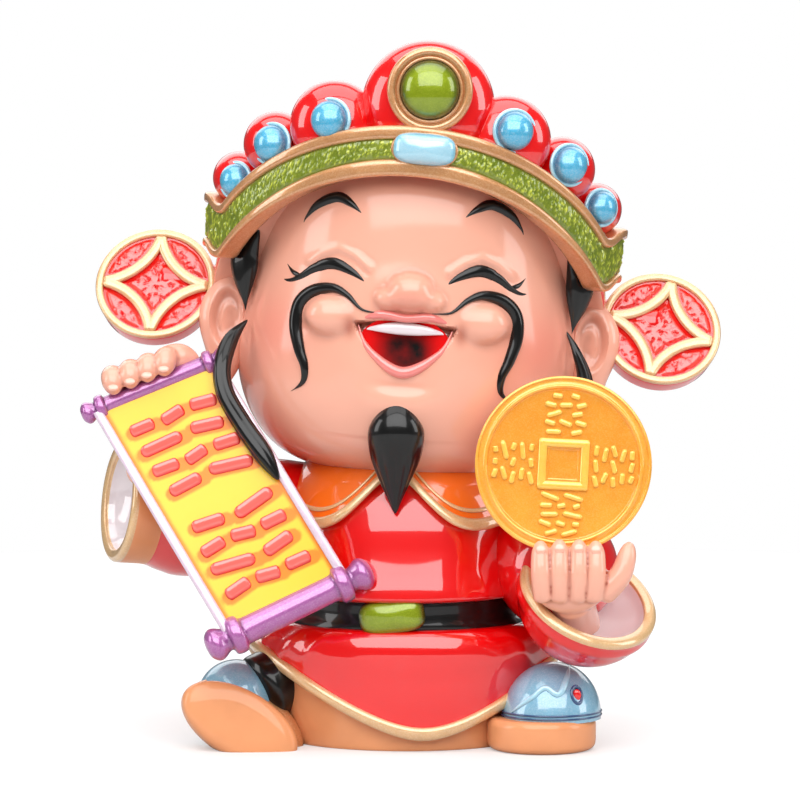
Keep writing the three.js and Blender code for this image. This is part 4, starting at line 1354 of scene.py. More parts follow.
class FIGURE_OT_wings(bpy.types.Operator):
    """Makes the two wings of the hat and the arms that carry them"""

    bl_idname = "figure.wings"
    bl_label = "Wings"

    def execute(self, context):
        for side in SIDES:
            place = wing_frame(side)
            name = side_name(side)
            finished(f"wing_plate_{name}", self.plate(), "Red with painted sheen", place=place)
            finished(f"wing_lattice_{name}", self.lattice(), "Cream gold", place=place, crease=1.2)
            arm = strand([(side * 20, 6, 24), (side * 37, 2.4, 23.2)], [2.8, 2.4], 40, 40, ends=(0.1, 0.1))
            finished(f"wing_arm_{name}", arm, "Red lacquer", place=HAT_FRAME)
        return {"FINISHED"}

    def plate(self):
        """The red disc, sunk and rough inside its rim."""
        outline = (
            (0, -WING_THICKNESS), (WING_RADIUS - 0.3, -WING_THICKNESS), (WING_RADIUS, -0.6),
            (WING_RADIUS - 0.5, -0.2), (WING_RADIUS - WING_RIM, -WING_RECESS), (0, -WING_RECESS),
        )
        form = lathe(outline, Matrix.Identity(4), 160, 0.25)
        bmesh.ops.subdivide_edges(
            form,
            edges=[e for e in form.edges if e.verts[0].co.z > -0.9 and e.calc_length() > 0.6],
            cuts=30,
            use_grid_fill=True,
        )
        mark = form.verts.layers.float.new("wash")
        for corner in form.verts:
            x, y, z = corner.co
            if z > -WING_RECESS - 0.01 and math.hypot(x, y) < WING_INNER:
                # The plateau away from the straps is raised, and marked for pink flecks: a painted reflection
                sheen_plateau = eased(from_lattice(x, y), 0.3, 0.75)
                pit = eased(noise.fractal(corner.co * 1.1, 0.7, 2.0, 3), 0.3, 0.5)
                corner[mark] = sheen_plateau * (1 - pit)
                corner.co.z += 0.35 * sheen_plateau * (1 - pit)
        return form

    def lattice(self):
        """The rim and four straps, each an arc about a corner."""
        beads = [loop(20, 160, self.rim_point)]
        for quarter in range(4):
            corner = math.radians(45 + 90 * quarter)
            middle = Vector((math.cos(corner), math.sin(corner), 0)) * STRAP_CENTRE * math.sqrt(2)
            half = math.atan2(STRAP_CENTRE, STRAP_CENTRE - WING_INNER) - math.radians(45)
            arc = []
            for k in range(9):
                angle = corner + math.pi + lerp(-half, half, k / 8)
                ray = Vector((math.cos(angle), math.sin(angle), 0))
                arc.append(middle + ray * STRAP_RADIUS - Vector((0, 0, 0.25)))
            beads.append(
                strand(arc, [WING_STRAP / 2] * 3, 20, 64, flat=0.6, out=UP, ends=(0.05, 0.05), squareness=3)
            )
        return joined(beads)

    def rim_point(self, angle, section):
        x, y = boxed(section, 3)
        out = WING_RADIUS - WING_RIM / 2 + x * WING_RIM / 2
        return Vector((math.cos(angle) * out, math.sin(angle) * out, -0.35 + 0.45 * y))


# The robe, measured round the body's middle

ROBE_WIDTH = ((0, 18), (5, 20), (10, 21), (15, 20.8), (18, 16.6), (22, 16.4), (30, 16.4), (36, 15), (44, 9))
ROBE_FRONT = (
    (0, 16.6), (5, 17.2), (10, 17.4), (15, 17.4), (18, 16), (22, 16), (30, 15.6), (36, 13.6), (44, 8)
)
ROBE_BACK = ((0, 14.6), (5, 15.4), (10, 15.6), (15, 15.2), (18, 14), (22, 14), (30, 14), (36, 13), (44, 8))
ROBE_MIDDLE = 0.9
BELT_LOW = 17.3
BELT_TOP = 20.9
BUCKLE_ANGLE = math.radians(-7)
HEM_LOW = 2.6
HEM_RISE = 11.4
HEM_MIDDLE = math.radians(7)
HEM_ROUNDING = 0.03
THROAT = math.radians(-6)
BELT_OUT = 0.2
TUNIC_OUT = 1.0
SKIRT_OUT = 0.8
YOKE_OUT = 2.0
TUNIC_FLARE = 1.0  # how far its foot leans out in front


def on_robe(angle, z, out=0.0):
    front = 0.5 + 0.5 * math.tanh(5 * math.cos(angle))
    depth = lerp(looked(ROBE_BACK, z), looked(ROBE_FRONT, z), front)
    width = looked(ROBE_WIDTH, z)
    return Vector((ROBE_MIDDLE + math.sin(angle) * (width + out), -math.cos(angle) * (depth + out), z))


def hem_height(angle):
    off = angle - HEM_MIDDLE
    power = 0.8 if math.cos(off) > 0 else 2

    def swag(across):
        return (across * across + HEM_ROUNDING) ** power - HEM_ROUNDING**power

    return HEM_LOW + HEM_RISE * swag(math.sin(off)) / swag(1)


def yoke_edge(angle):
    off = math.remainder(angle - THROAT, 2 * math.pi)
    return 32.6 + 6 * swell(off, math.radians(19)) + 0.8 * math.cos(5 * off)


def fold(angle, z, at, low, lean, width, height):
    """A fold of the cloth that rises from the belt and fades out."""
    middle = at + lean * (z - BELT_LOW) / 10
    fade = eased(abs(z - (BELT_LOW + BELT_TOP) / 2), 1.5, 3) * (1 - eased(abs(z - BELT_LOW), low, low + 6))
    return height * swell(math.remainder(angle - middle, 2 * math.pi), width) * fade


FOLDS = (
    # place round the belt in degrees, reach, lean, width, height
    (-62, 3, 0.5, 4, 0.5), (-48, 4, 0.4, 3.5, 0.45), (-33, 2, 0.5, 3, 0.3), (44, 3, -0.4, 4, 0.45),
    (60, 4, -0.5, 4, 0.5), (95, 3, 0, 5, 0.5),
    (130, 4, 0.3, 5, 0.4), (165, 3, -0.2, 6, 0.45), (-100, 4, 0, 5, 0.5),
    (-135, 3, -0.3, 5, 0.4),
)


def folded(angle, z):
    return sum(
        fold(angle, z, math.radians(at), low, math.radians(30) * lean, math.radians(width), height)
        for at, low, lean, width, height in FOLDS
    )


def trim(height, out, half, thick, steps=320):
    """A rounded cord of trim round the robe at a height given by the angle."""

    def place(angle, section):
        x, y = boxed(section, 2.6)
        return on_robe(angle, height(angle) + half * y, out + thick * x)

    return loop(20, steps, place)


class FIGURE_OT_robe(bpy.types.Operator):
    """Makes the robe: under-robe, skirt, belt and buckle, tunic, collar and their trims"""

    bl_idname = "figure.robe"
    bl_label = "Robe"

    def execute(self, context):
        finished("under_robe", self.under_robe(), "Tan", crease=0.8)
        finished("skirt", self.skirt(), "Red lacquer", crease=0.8)
        finished("skirt_trim", trim(hem_height, SKIRT_OUT + 0.25, 0.95, 0.75), "Cream gold", crease=0.6)
        finished("belt", self.belt(), "Black lacquer")
        finished("tunic", self.tunic(), "Red lacquer", crease=0.8)
        finished("collar", self.collar(), "Orange", crease=0.8)
        finished("collar_trim", trim(yoke_edge, YOKE_OUT + 0.2, 0.85, 0.75), "Cream gold", crease=0.6)
        finished("collar_cord", trim(lambda a: yoke_edge(a) + 1.9, YOKE_OUT - 0.05, 0.3, 0.35), "Cream gold")
        middle = on_robe(BUCKLE_ANGLE, (BELT_LOW + BELT_TOP) / 2, 0.4)
        facing = Vector((math.sin(BUCKLE_ANGLE), -math.cos(BUCKLE_ANGLE), 0))
        finished("buckle", pillow(middle, (4.7, 2.5), 1.9, facing), "Leaf")
        return {"FINISHED"}

    def under_robe(self):
        def row(z, out):
            return lambda angle: on_robe(angle, z, out - 0.25 * (1 - math.cos(14 * angle)) * eased(z, 0.5, 4))

        heights = ((16, -2), (13, 0), (9, 0), (5, 0), (2, 0), (0.3, 0), (0, -0.4), (0, -2))
        return floored(pile([row(z, out) for z, out in heights], 200, 60))

    def skirt(self):
        def row(share, out):
            def place(angle):
                z = lerp(BELT_LOW - 0.2, hem_height(angle), share)
                return on_robe(angle, z, out + folded(angle, z))

            return place

        rows = [row(0, -2.5), row(0, 0), row(0.04, SKIRT_OUT)]
        rows += [row(k / 6, SKIRT_OUT) for k in range(1, 7)]
        return pile([*rows, row(1, -0.4), row(0.9, -1.5)])

    def belt(self):
        low, high = BELT_LOW - 0.4, BELT_TOP + 0.4

        def place(angle, section):
            x, y = boxed(section, 6)
            return on_robe(angle, lerp(low, high, 0.5 + y / 2), BELT_OUT - 1 + x)

        return loop(24, 200, place)

    def tunic(self):
        """The upper part of the robe. Its foot leans out over the belt in front."""

        def row(z, out, lean=0.0):
            def place(angle):
                flare = lean * TUNIC_FLARE * clamp(math.cos(angle)) ** 0.5
                return on_robe(angle, z, out + flare + folded(angle, z))

            return place

        rows = [
            row(42, -2), row(41, 0.5), *(row(z, TUNIC_OUT) for z in (36, 32, 28)), row(25, TUNIC_OUT, 0.5)
        ]
        rows += [row(BELT_TOP + 1.4, TUNIC_OUT + 0.1, 0.95), row(BELT_TOP + 0.4, TUNIC_OUT - 0.1, 1)]
        rows += [row(BELT_TOP, 0, 0.4), row(BELT_TOP + 0.3, -2)]
        return pile(rows)

    def collar(self):
        def row(share, out):
            return lambda angle: on_robe(angle, lerp(43.4, yoke_edge(angle), share), out)

        rows = [row(0, -2), row(0.05, 0), row(0.2, YOKE_OUT - 0.4)]
        rows += [row(share, YOKE_OUT) for share in (0.45, 0.7, 1)]
        return pile([*rows, row(1.02, 0.8), row(0.9, 0)], rings=60)


# Sleeves and hands

RIGHT_CUFF = (Vector((-40.2, -4.4, 34.4)), Vector((-0.94, -0.31, 0.12)).normalized())
LEFT_CUFF = (Vector((26.6, -16.6, 22.2)), Vector((0.34, -0.53, 0.77)).normalized())


def sleeve(rows, sides=96, steps=130):
    """A sleeve from its closed end inside the body to its cuff and back down into the hollow.

    A row is the ring's centre, the way it faces, its half width and the finish from there on.
    """

    def place(corner):
        share = share_down(corner)
        centre = along([row[0] for row in rows], share)
        facing = along([row[1] for row in rows], share).normalized()
        half = along([row[2] for row in rows], share) if not at_pole(corner) else 0
        side = RIGHT.cross(facing).normalized() if abs(facing.x) < 0.7 else UP.cross(facing).normalized()
        upward = facing.cross(side)
        angle = math.atan2(corner.y, corner.x)
        return centre + (side * math.cos(angle) + upward * math.sin(angle)) * half

    form = globe(sides, steps)
    for face in form.faces:
        share = share_down(face.calc_center_median())
        face.material_index = rows[int(share * (len(rows) - 1))][3]
    return moved(form, place)


RED, BAND, RIM, LINING = range(4)


def cuff_rows(cuff, radius, wall, depth, band):
    """The rows of a cuff's band, its rolled rim and its lining."""
    centre, normal = cuff
    inner = radius - wall
    return [
        *((centre - normal * by, normal, radius, BAND) for by in (band, band * 0.5)),
        (centre - normal * 0.7, normal, radius + 0.05, RIM),
        (centre - normal * 0.1, normal, radius - 0.05, RIM),
        (centre + normal * 0.25, normal, radius - wall * 0.4, RIM),
        (centre, normal, inner, RIM),
        (centre - normal * 0.5, normal, inner - 0.1, LINING),
        (centre - normal * depth * 0.4, normal, inner * 0.9, LINING),
        (centre - normal * depth * 0.75, normal, inner * 0.65, LINING),
        (centre - normal * depth * 0.95, normal, inner * 0.32, LINING),
        (centre - normal * depth, normal, 0.02, LINING),
    ]


class FIGURE_OT_sleeves(bpy.types.Operator):
    """Makes the two wide sleeves with their cuffs and pale linings"""

    bl_idname = "figure.sleeves"
    bl_label = "Sleeves"

    def execute(self, context):
        finishes = ("Red lacquer", "Tan", "Cream gold", "Lining")
        centre, normal = RIGHT_CUFF
        along_arm = Vector((-1, -0.05, 0))
        right = [
            (Vector((-8, 1, 32)), along_arm, 0.05, RED),
            (Vector((-9, 1, 32)), along_arm, 6, RED),
            (Vector((-15, 0.5, 31.8)), along_arm, 7.8, RED),
            (Vector((-22, 0, 31.7)), along_arm, 8.6, RED),
            (centre - normal * 10 + Vector((0, 0, -0.6)), (along_arm + normal).normalized(), 9.4, RED),
            (centre - normal * 7 + Vector((0, 0, -0.3)), normal, 9.2, RED),
            *cuff_rows(RIGHT_CUFF, 8.8, 1.6, 4.2, 4.6),
        ]
        finished("sleeve_right", sleeve(right), *finishes)
        centre, normal = LEFT_CUFF
        bowl = [(centre - normal * 10.2, normal, 0.05, RED)]
        for degrees in (12, 25, 38, 50, 61, 71):
            lean = math.radians(degrees)
            bowl.append((centre - normal * 10.2 * math.cos(lean), normal, 10.2 * math.sin(lean), RED))
        bowl += cuff_rows(LEFT_CUFF, 10.15, 1.7, 5, 2.2)
        bowl = [(*row[:3], RED if row[3] == BAND else row[3]) for row in bowl]
        finished("sleeve_left", sleeve(bowl), *finishes)
        path = [(10, 0, 34), (19, -5, 28), centre - normal * 1.5]
        arm = strand(path, [7, 8.4, 9.2], 72, 64, out=RIGHT, ends=(0.2, 0.35))
        finished("arm_left", arm, "Red lacquer")
        return {"FINISHED"}


TOP_ROD = (Vector((-34.6, -9.6, 51.2)), Vector((0.92, 0, 0.38)).normalized())
BOTTOM_ROD = (Vector((-15.5, -18.8, 20.4)), Vector((0.9, 0.16, 0.42)).normalized())
TOP_ROD_RADIUS = 1.3
BOTTOM_ROD_RADIUS = 1.95
SCROLL_WIDTH = 19.4
SCROLL_THICKNESS = 1.5
SCROLL_BORDER = 1.4
SCROLL_BULGE = 1.2
COLLAR_INSET = 1.5
STROKE_HEIGHT = 0.5
COIN_RADIUS = 12.3
COIN_THICKNESS = 2.4
COIN_RIM = 1.3
COIN_HOLE = 4.6
COIN_GRIP = 2.2
COIN_FOOT = Vector((22.7, -23.4, 28.8))
COIN_FRAME = (
    Matrix.Translation(COIN_FOOT)
    @ turn(85, "X")
    @ Matrix.Translation((0, COIN_RADIUS, 0))
    @ turn(-3, "Z")
)


# The fingers of the right hand: places along the rod, how far they fan out, and their bend over it
FINGERS = (-5.9, -3.6, -1.3, 1)
FINGER_SPREAD = 0.12
FINGER_BEND = ((2.2, 1.4), (0.9, 3.3), (-0.9, 3.2), (-1.8, 1))
HAND_GRAIN = 0.22  # grain at which the parts of a hand are run together


def on_rod(rod, across):
    return rod[0] + rod[1] * across


def nail(at, facing, wide, long):
    return placed(ball((0, 0, 0), (wide, long, 0.2), sides=24, rings=16), facing_at(at, facing))


class FIGURE_OT_hands(bpy.types.Operator):
    """Makes the hand over the scroll's rod and the hand that holds up the coin"""

    bl_idname = "figure.hands"
    bl_label = "Hands"

    def execute(self, context):
        for name, (hand, nails) in (("right", self.right_hand()), ("left", self.left_hand())):
            finished(f"hand_{name}", melted(hand, HAND_GRAIN), "Skin", crease=1.6)
            finished(f"nails_{name}", nails, "Nails")
        return {"FINISHED"}

    def right_hand(self):
        wrist = [(-35.6, -3.4, 36), (-36.4, -5.4, 44), (-36.6, -7.4, 51.6)]
        back = [(-35, -7.6, 53.6), (-31.4, -7.8, 54.9), (-28.4, -8.2, 54.6)]
        forms = [
            strand(wrist, [3.4, 3.2, 4.6], 48, 48, flat=0.6, ends=(0.2, 0.3)),
            strand(back, [2, 2.2, 1.4], 40, 40, ends=(0.3, 0.4)),
        ]
        nails = []
        for k, across in enumerate(FINGERS):
            over = on_rod(TOP_ROD, across)
            lean = FINGER_SPREAD * ((len(FINGERS) - 1) / 2 - k)
            path = [over + Vector((-lean * z, y, z)) for y, z in FINGER_BEND]
            forms.append(strand(path, [1.45, 1.6, 1.6, 1.4], 32, 48, out=RIGHT, ends=(0.15, 0.3)))
            at = over + Vector((-lean * 2.1, -2.85, 2.1))
            nails.append(nail(at, Vector((0, -0.92, 0.38)).normalized(), 0.8, 0.5))
        return joined(forms), joined(nails)

    def left_hand(self):
        forms = [
            ball((23.6, -23.2, 25), (5.4, 3, 4.8)),
            strand([(25.3, -12, 17), (23.8, -23, 22.8)], [3.2, 3], 48, 32, ends=(0.1, 0.1)),
        ]
        nails = []
        for k, share in enumerate((-0.26, -0.05, 0.17, 0.36)):
            x = COIN_FOOT.x + share * 12.3
            tip = COIN_FOOT.z + COIN_GRIP - 0.2 * abs(k - 1.5)
            path = [(x * 0.9 + 2.3, -24.9, 22), (x, -25.5, 26), (x, -24.4, tip)]
            forms.append(strand(path, [1.3, 1.4, 1.25], 32, 48, ends=(0.1, 0.25)))
            nails.append(nail(Vector((x, -26.0, tip - 1.2)), Vector((0, -1, 0.25)).normalized(), 0.75, 0.7))
        thumb = [(27.4, -23.6, 22.6), (30.6, -24, 25.8), (32, -23.4, 30.4)]
        forms.append(strand(thumb, [1.9, 1.6, 1.2], 32, 48, ends=(0.15, 0.25)))
        return joined(forms), joined(nails)


# The scroll

SHEET_FACING = TOP_ROD[1].cross(TOP_ROD[0] - BOTTOM_ROD[0]).normalized()


def on_scroll(across, up, out):
    """A point of the sheet: across and up from -0.5 to 0.5, and out from it."""
    low, high = on_rod(BOTTOM_ROD, across * SCROLL_WIDTH), on_rod(TOP_ROD, across * SCROLL_WIDTH)
    return low.lerp(high, up + 0.5) + SHEET_FACING * (out + SCROLL_BULGE * math.cos(math.pi * up))


# Height of each row of strokes on the sheet, and how many strokes it has
STROKE_ROWS = ((0.36, 3), (0.27, 2), (0.18, 3), (0.09, 2), (-0.08, 2), (-0.17, 3), (-0.26, 2), (-0.35, 3))
STROKE_ROOM = 0.72
STROKE_HALF_WIDTH = 0.95
STROKE_THICKNESS = 0.5
SHEET_TALL = (TOP_ROD[0] - BOTTOM_ROD[0]).length / SCROLL_WIDTH


def stroke_lines():
    """The ends of each stroke on the sheet, across and up."""
    for row, (up, count) in enumerate(STROKE_ROWS):
        for k in range(count):
            middle = STROKE_ROOM * ((k + 0.5) / count - 0.5)
            half = (0.8 - 0.12 * math.sin(5 * row + 3 * k)) * STROKE_ROOM / count / 2
            lean = 0.2 * math.sin(3 * row + 2 * k)
            reach = Vector((half, half * lean / SHEET_TALL))
            yield Vector((middle, up)) - reach, Vector((middle, up)) + reach


class FIGURE_OT_scroll(bpy.types.Operator):
    """Makes the scroll: sheet, side strips, rods and rows of raised strokes"""

    bl_idname = "figure.scroll"
    bl_label = "Scroll"

    def execute(self, context):
        finished("scroll_sheet", self.sheet(), "Scroll yellow")
        border = SCROLL_BORDER / SCROLL_WIDTH
        strips = [self.strip(side * (0.5 - border / 2), border / 2) for side in SIDES]
        finished("scroll_strips", joined(strips), "Lavender", crease=1.0)
        strokes = []
        for start, end in stroke_lines():
            places = [on_scroll(*start.lerp(end, k / 4), SCROLL_THICKNESS / 2) for k in range(5)]
            half = [STROKE_HALF_WIDTH] * 3
            flat = STROKE_THICKNESS / STROKE_HALF_WIDTH
            strokes.append(strand(places, half, 16, 28, flat=flat, ends=(0.15, 0.15), squareness=4))
        strokes = outward(joined(strokes))
        # The sides of the strokes are marked red and their tops stay coral: a painted reflection on the tops
        mark = strokes.verts.layers.float.new("wash")
        for corner in strokes.verts:
            corner[mark] = eased(0.95 - corner.normal.dot(SHEET_FACING), 0, 0.35)
        finished("scroll_strokes", strokes, "Stroke red")
        rods = [self.rod(TOP_ROD, TOP_ROD_RADIUS), self.rod(BOTTOM_ROD, BOTTOM_ROD_RADIUS)]
        finished("scroll_rods", joined(rods), "Pearl purple", crease=1.5)
        return {"FINISHED"}

    def sheet(self):
        """The sheet, marked where it turns amber: a painted shadow round the strokes, set off downwards and
        to the right, and airbrush along its edges.
        """
        form = bmesh.new()
        bmesh.ops.create_grid(form, x_segments=44, y_segments=96, size=0.5)
        shade = form.verts.layers.float.new("shade")
        lines = [[Vector((end.x, end.y * SHEET_TALL)) for end in ends] for ends in stroke_lines()]
        for corner in form.verts:
            spot = Vector((corner.co.x, corner.co.y * SHEET_TALL))
            # Painted shadow: the amber round each stroke is set off downwards and to the right
            near = min(off_line(spot.x - 0.01, spot.y + 0.02, line) for line in lines)
            edge = min(0.44 - abs(spot.x), (0.5 - abs(corner.co.y)) * SHEET_TALL)
            corner[shade] = clamp(1.0 * swell(max(near - 0.035, 0), 0.024) + 0.9 * swell(max(edge, 0), 0.035))
        grown = bmesh.ops.extrude_face_region(form, geom=form.faces[:])["geom"]
        for corner in form.verts:
            corner.co.z = -0.5
        for corner in grown:
            if isinstance(corner, bmesh.types.BMVert):
                corner.co.z = 0.5
        return moved(form, lambda at: on_scroll(at.x * 0.98, at.y, at.z * SCROLL_THICKNESS))

    def strip(self, middle, half):
        form = globe(24, 140)

        def place(corner):
            share = share_down(corner)
            full = 0 if at_pole(corner) else 1
            x, y = boxed(math.atan2(corner.y, corner.x), 4)
            out = SCROLL_THICKNESS / 2 * (1 + 0.9 * y * full)
            return on_scroll(middle + x * half * full, lerp(-0.49, 0.49, share), out)

        return moved(form, place)

    def rod(self, rod, radius):
        """A turned rod with a collar and a ball at each end."""
        half = SCROLL_WIDTH / 2 - COLLAR_INSET
        knob = [
            (0, -2.4), (0.72, -2.33), (1.2, -1.9), (1.22, -1.45),
            (0.85, -0.85), (0.9, -0.6), (1.35, -0.5), (1.43, 0),
            (1.35, 0.4), (1.02, 0.5), (1, 1.2),
        ]
        outline = [(r * radius, y * radius - half) for r, y in knob]
        outline += [(r, -y) for r, y in reversed(outline)]
        return lathe(outline, facing_at(*rod), 72, 0.35 * radius)


# The coin


class FIGURE_OT_coin(bpy.types.Operator):
    """Makes the coin: plate, rim, square frame and rows of raised strokes"""

    bl_idname = "figure.coin"
    bl_label = "Coin"

    def execute(self, context):
        inner = COIN_RADIUS - COIN_RIM
        outline = (
            (0, -COIN_THICKNESS), (COIN_RADIUS - 0.2, -COIN_THICKNESS), (COIN_RADIUS, -COIN_THICKNESS + 0.3),
            (COIN_RADIUS, STROKE_HEIGHT - 0.1), (COIN_RADIUS - 0.35, STROKE_HEIGHT), (COIN_RADIUS - 0.5, 0.2),
            (inner + 0.2, 0.25), (inner, 0.45), (inner - 0.3, 0.4), (inner - 0.5, 0.0), (0, 0),
        )
        forms = [lathe(outline, Matrix.Identity(4), 160, 0.12)]
        for side, half, rise in (((COIN_HOLE + COIN_RIM) / 2, 0.62, 0.0), (COIN_HOLE / 2 - 0.1, 0.3, -0.2)):
            corners = [
                Vector((x * side, y * side, rise)) for x, y in ((1, 1), (-1, 1), (-1, -1), (1, -1), (1, 1))
            ]
            for start, end in zip(corners, corners[1:]):
                reach = (end - start).normalized() * half
                bar = strand(
                    [start - reach, end + reach], [half] * 2, 16, 24, out=UP, ends=(0.04, 0.04), squareness=4
                )
                forms.append(bar)
        for quarter in range(4):
            upright = quarter % 2
            for row, out in enumerate((4.5, 5.75, 7.0, 8.25, 9.5)):
                count = 3 if (row + upright) % 2 else 2
                wide = 3.2 if row < 4 else 2.5
                for k in range(count):
                    across = lerp(-wide, wide, (k + 0.5) / count)
                    half = wide / count * (0.72 + 0.2 * math.sin(5 * k + 3 * row + quarter))
                    lean = 0.35 * math.sin(7 * k + 4 * row + 2 * quarter)
                    start = Vector((across - half, out - lean * half, 0))
                    end = Vector((across + half, out + lean * half, 0))
                    bar = strand(
                        [start, end], [0.4, 0.4], 12, 20, out=UP, flat=1.2, ends=(0.2, 0.2), squareness=3
                    )
                    forms.append(placed(bar, turn(90 * quarter, "Z")))
        # The raised parts are marked for the lighter coin colour, less of it on the rim: a painted highlight
        coin = painted(
            joined(forms),
            lambda at: eased(at.z, 0.05, 0.35) * (0.3 if math.hypot(at.x, at.y) > inner - 0.6 else 1)
        )
        finished("coin", coin, "Coin", place=COIN_FRAME)
        return {"FINISHED"}


# Shoes

SHOE_SOLE = 4.6
TIPPED = (
    Matrix.Translation((-22.7, -14, 3.5))
    @ turn(30, "Y")
    @ turn(-12, "X")
)
CAP_MIDDLE = Vector((21.4, -13, SHOE_SOLE))
CAP_RADII = Vector((7, 6.9, 7.7))
CAP_TURN = Matrix.Rotation(math.radians(12), 3, "Y")
CURL = ((23.9, 12.0), (23.4, 10.4), (22.2, 8.4), (20.4, 9.2), (18.6, 7.9), (16.6, 6.4), (15.4, 5.2))


def on_cap(x, z, lift=0.0):
    """The point of the left shoe's cap at x and z, raised by lift, and the way it faces there."""
    near = CAP_TURN.inverted() @ Vector((x - CAP_MIDDLE.x, 0, z - CAP_MIDDLE.z))
    left = 1 - (near.x / CAP_RADII.x) ** 2 - (near.z / CAP_RADII.z) ** 2
    near.y = -CAP_RADII.y * math.sqrt(max(left, 0))
    facing = CAP_TURN @ Vector(part / radius**2 for part, radius in zip(near, CAP_RADII)).normalized()
    return CAP_MIDDLE + CAP_TURN @ near + facing * lift, facing


class FIGURE_OT_shoes(bpy.types.Operator):
    """Makes the tipped right shoe, which shows its sole, and the left shoe on the floor"""

    bl_idname = "figure.shoes"
    bl_label = "Shoes"

    def execute(self, context):
        self.right_shoe()
        outline = (
            (0, 0), (6.8, 0), (7.55, 0.5), (7.7, 1.4),
            (7.7, SHOE_SOLE - 0.7), (7.2, SHOE_SOLE), (0, SHOE_SOLE),
        )
        finished("sole_left", lathe(outline, Matrix.Translation((20, -13.4, 0)), 96, 0.4), "Tan")
        cap = ball((0, 0, 0), CAP_RADII, sides=96, rings=64)
        placed(cap, Matrix.Translation(CAP_MIDDLE) @ CAP_TURN.to_4x4())
        for corner in cap.verts:
            corner.co.z = max(corner.co.z, SHOE_SOLE - 0.3)
        finished("shoe_left", cap, "Shoe blue")
        self.ornaments()
        return {"FINISHED"}

    def right_shoe(self):
        """The tipped shoe: the flat sole towards the viewer, its welt behind, the upper and the boot."""
        sole = globe(96, 72)
        for corner in sole.verts:
            x, y, z = corner.co
            reach = min(math.hypot(x, z), 1)
            corner.co = Vector((9 * x, 3 * math.copysign((1 - reach**5) ** 0.2, y), 4.8 * z))
        finished("sole_right", floored(placed(sole, TIPPED)), "Tan", crease=0.8)
        welt = ball((0.7, 3, 0.6), (9.2, 3, 5.4), sides=96, rings=64)
        finished("welt_right", floored(placed(welt, TIPPED)), "Gold")
        finished(
            "shoe_right", floored(ball((-23.3, -8.4, 6.5), (5.6, 6, 5.5), sides=80, rings=56)), "Shoe blue"
        )
        boot = strand([(-12, -4, 12), (-21, -9, 7)], [4.4, 5.2], 64, 48, ends=(0.1, 0.2))
        finished("boot_right", boot, "Black lacquer")

    def ornaments(self):
        """The left shoe's lines above the sole, its curl, and the red dot in its ring."""

        def line(height):
            def place(angle, section):
                out = 0.06 + 0.14 * math.cos(section)
                x, y = math.cos(angle) * (CAP_RADII.x + out), math.sin(angle) * (CAP_RADII.y + out)
                return CAP_MIDDLE + Vector((x, y, height + 0.14 * math.sin(section)))

            return loop(10, 128, place)

        middle, facing = on_cap(24.8, 8.2)
        ring = ring_round(middle, 0.85, 0.2, facing, 1.0)
        stretch = Matrix.Translation(middle) @ Matrix.Diagonal((1, 1, 1.5, 1)) @ Matrix.Translation(-middle)
        placed(ring, stretch)
        finished("shoe_lines", joined([line(0.3), line(0.8), ring]), "Navy")
        finished("shoe_dot", ball(middle, (0.62, 0.35, 0.85), sides=32, rings=24), "Red lacquer")
        curl = strand(
            [on_cap(x, z, 0.1)[0] for x, z in CURL], [0.2, 0.4, 0.5, 0.45, 0.4, 0.4, 0.2], 20, 72, flat=0.8
        )
        finished("shoe_curl", curl, "Ice blue")


# Stage

BACKDROP_LIGHT = 0.12  # light that the white backdrop throws, next to how bright it looks
FLOOR_GLOW = 0.35


# Names, places, sizes and powers of the soft boxes, and what they face where that isn't the figure's middle
SOFT_BOXES = (
    ("Front box", (0, -0.793, 0.689), (1.33, 0.83), 12.5, None),
    ("Top box", (0, -0.1, 0.95), (1.2, 0.7), 6, Vector((0, -0.1, 0))),
    ("Back box", (0, 0.85, 0.75), (1.8, 0.9), 9, None),
    ("Left box", (-1.3, -0.3, 0.5), (0.5, 0.9), 5, None),
    ("Right box", (1.3, -0.3, 0.5), (0.5, 0.9), 5, None),
)
FOCAL_LENGTH = 215.6  # millimetres, as is the sensor's width
SENSOR_WIDTH = 36
PICTURE_SHIFT = -0.01375  # share of the picture's width by which it looks lower
CLIP_START = 0.05
PAPER_GREY = (0.55, 0.55, 0.55, 1)
WHITE = (1, 1, 1, 1)


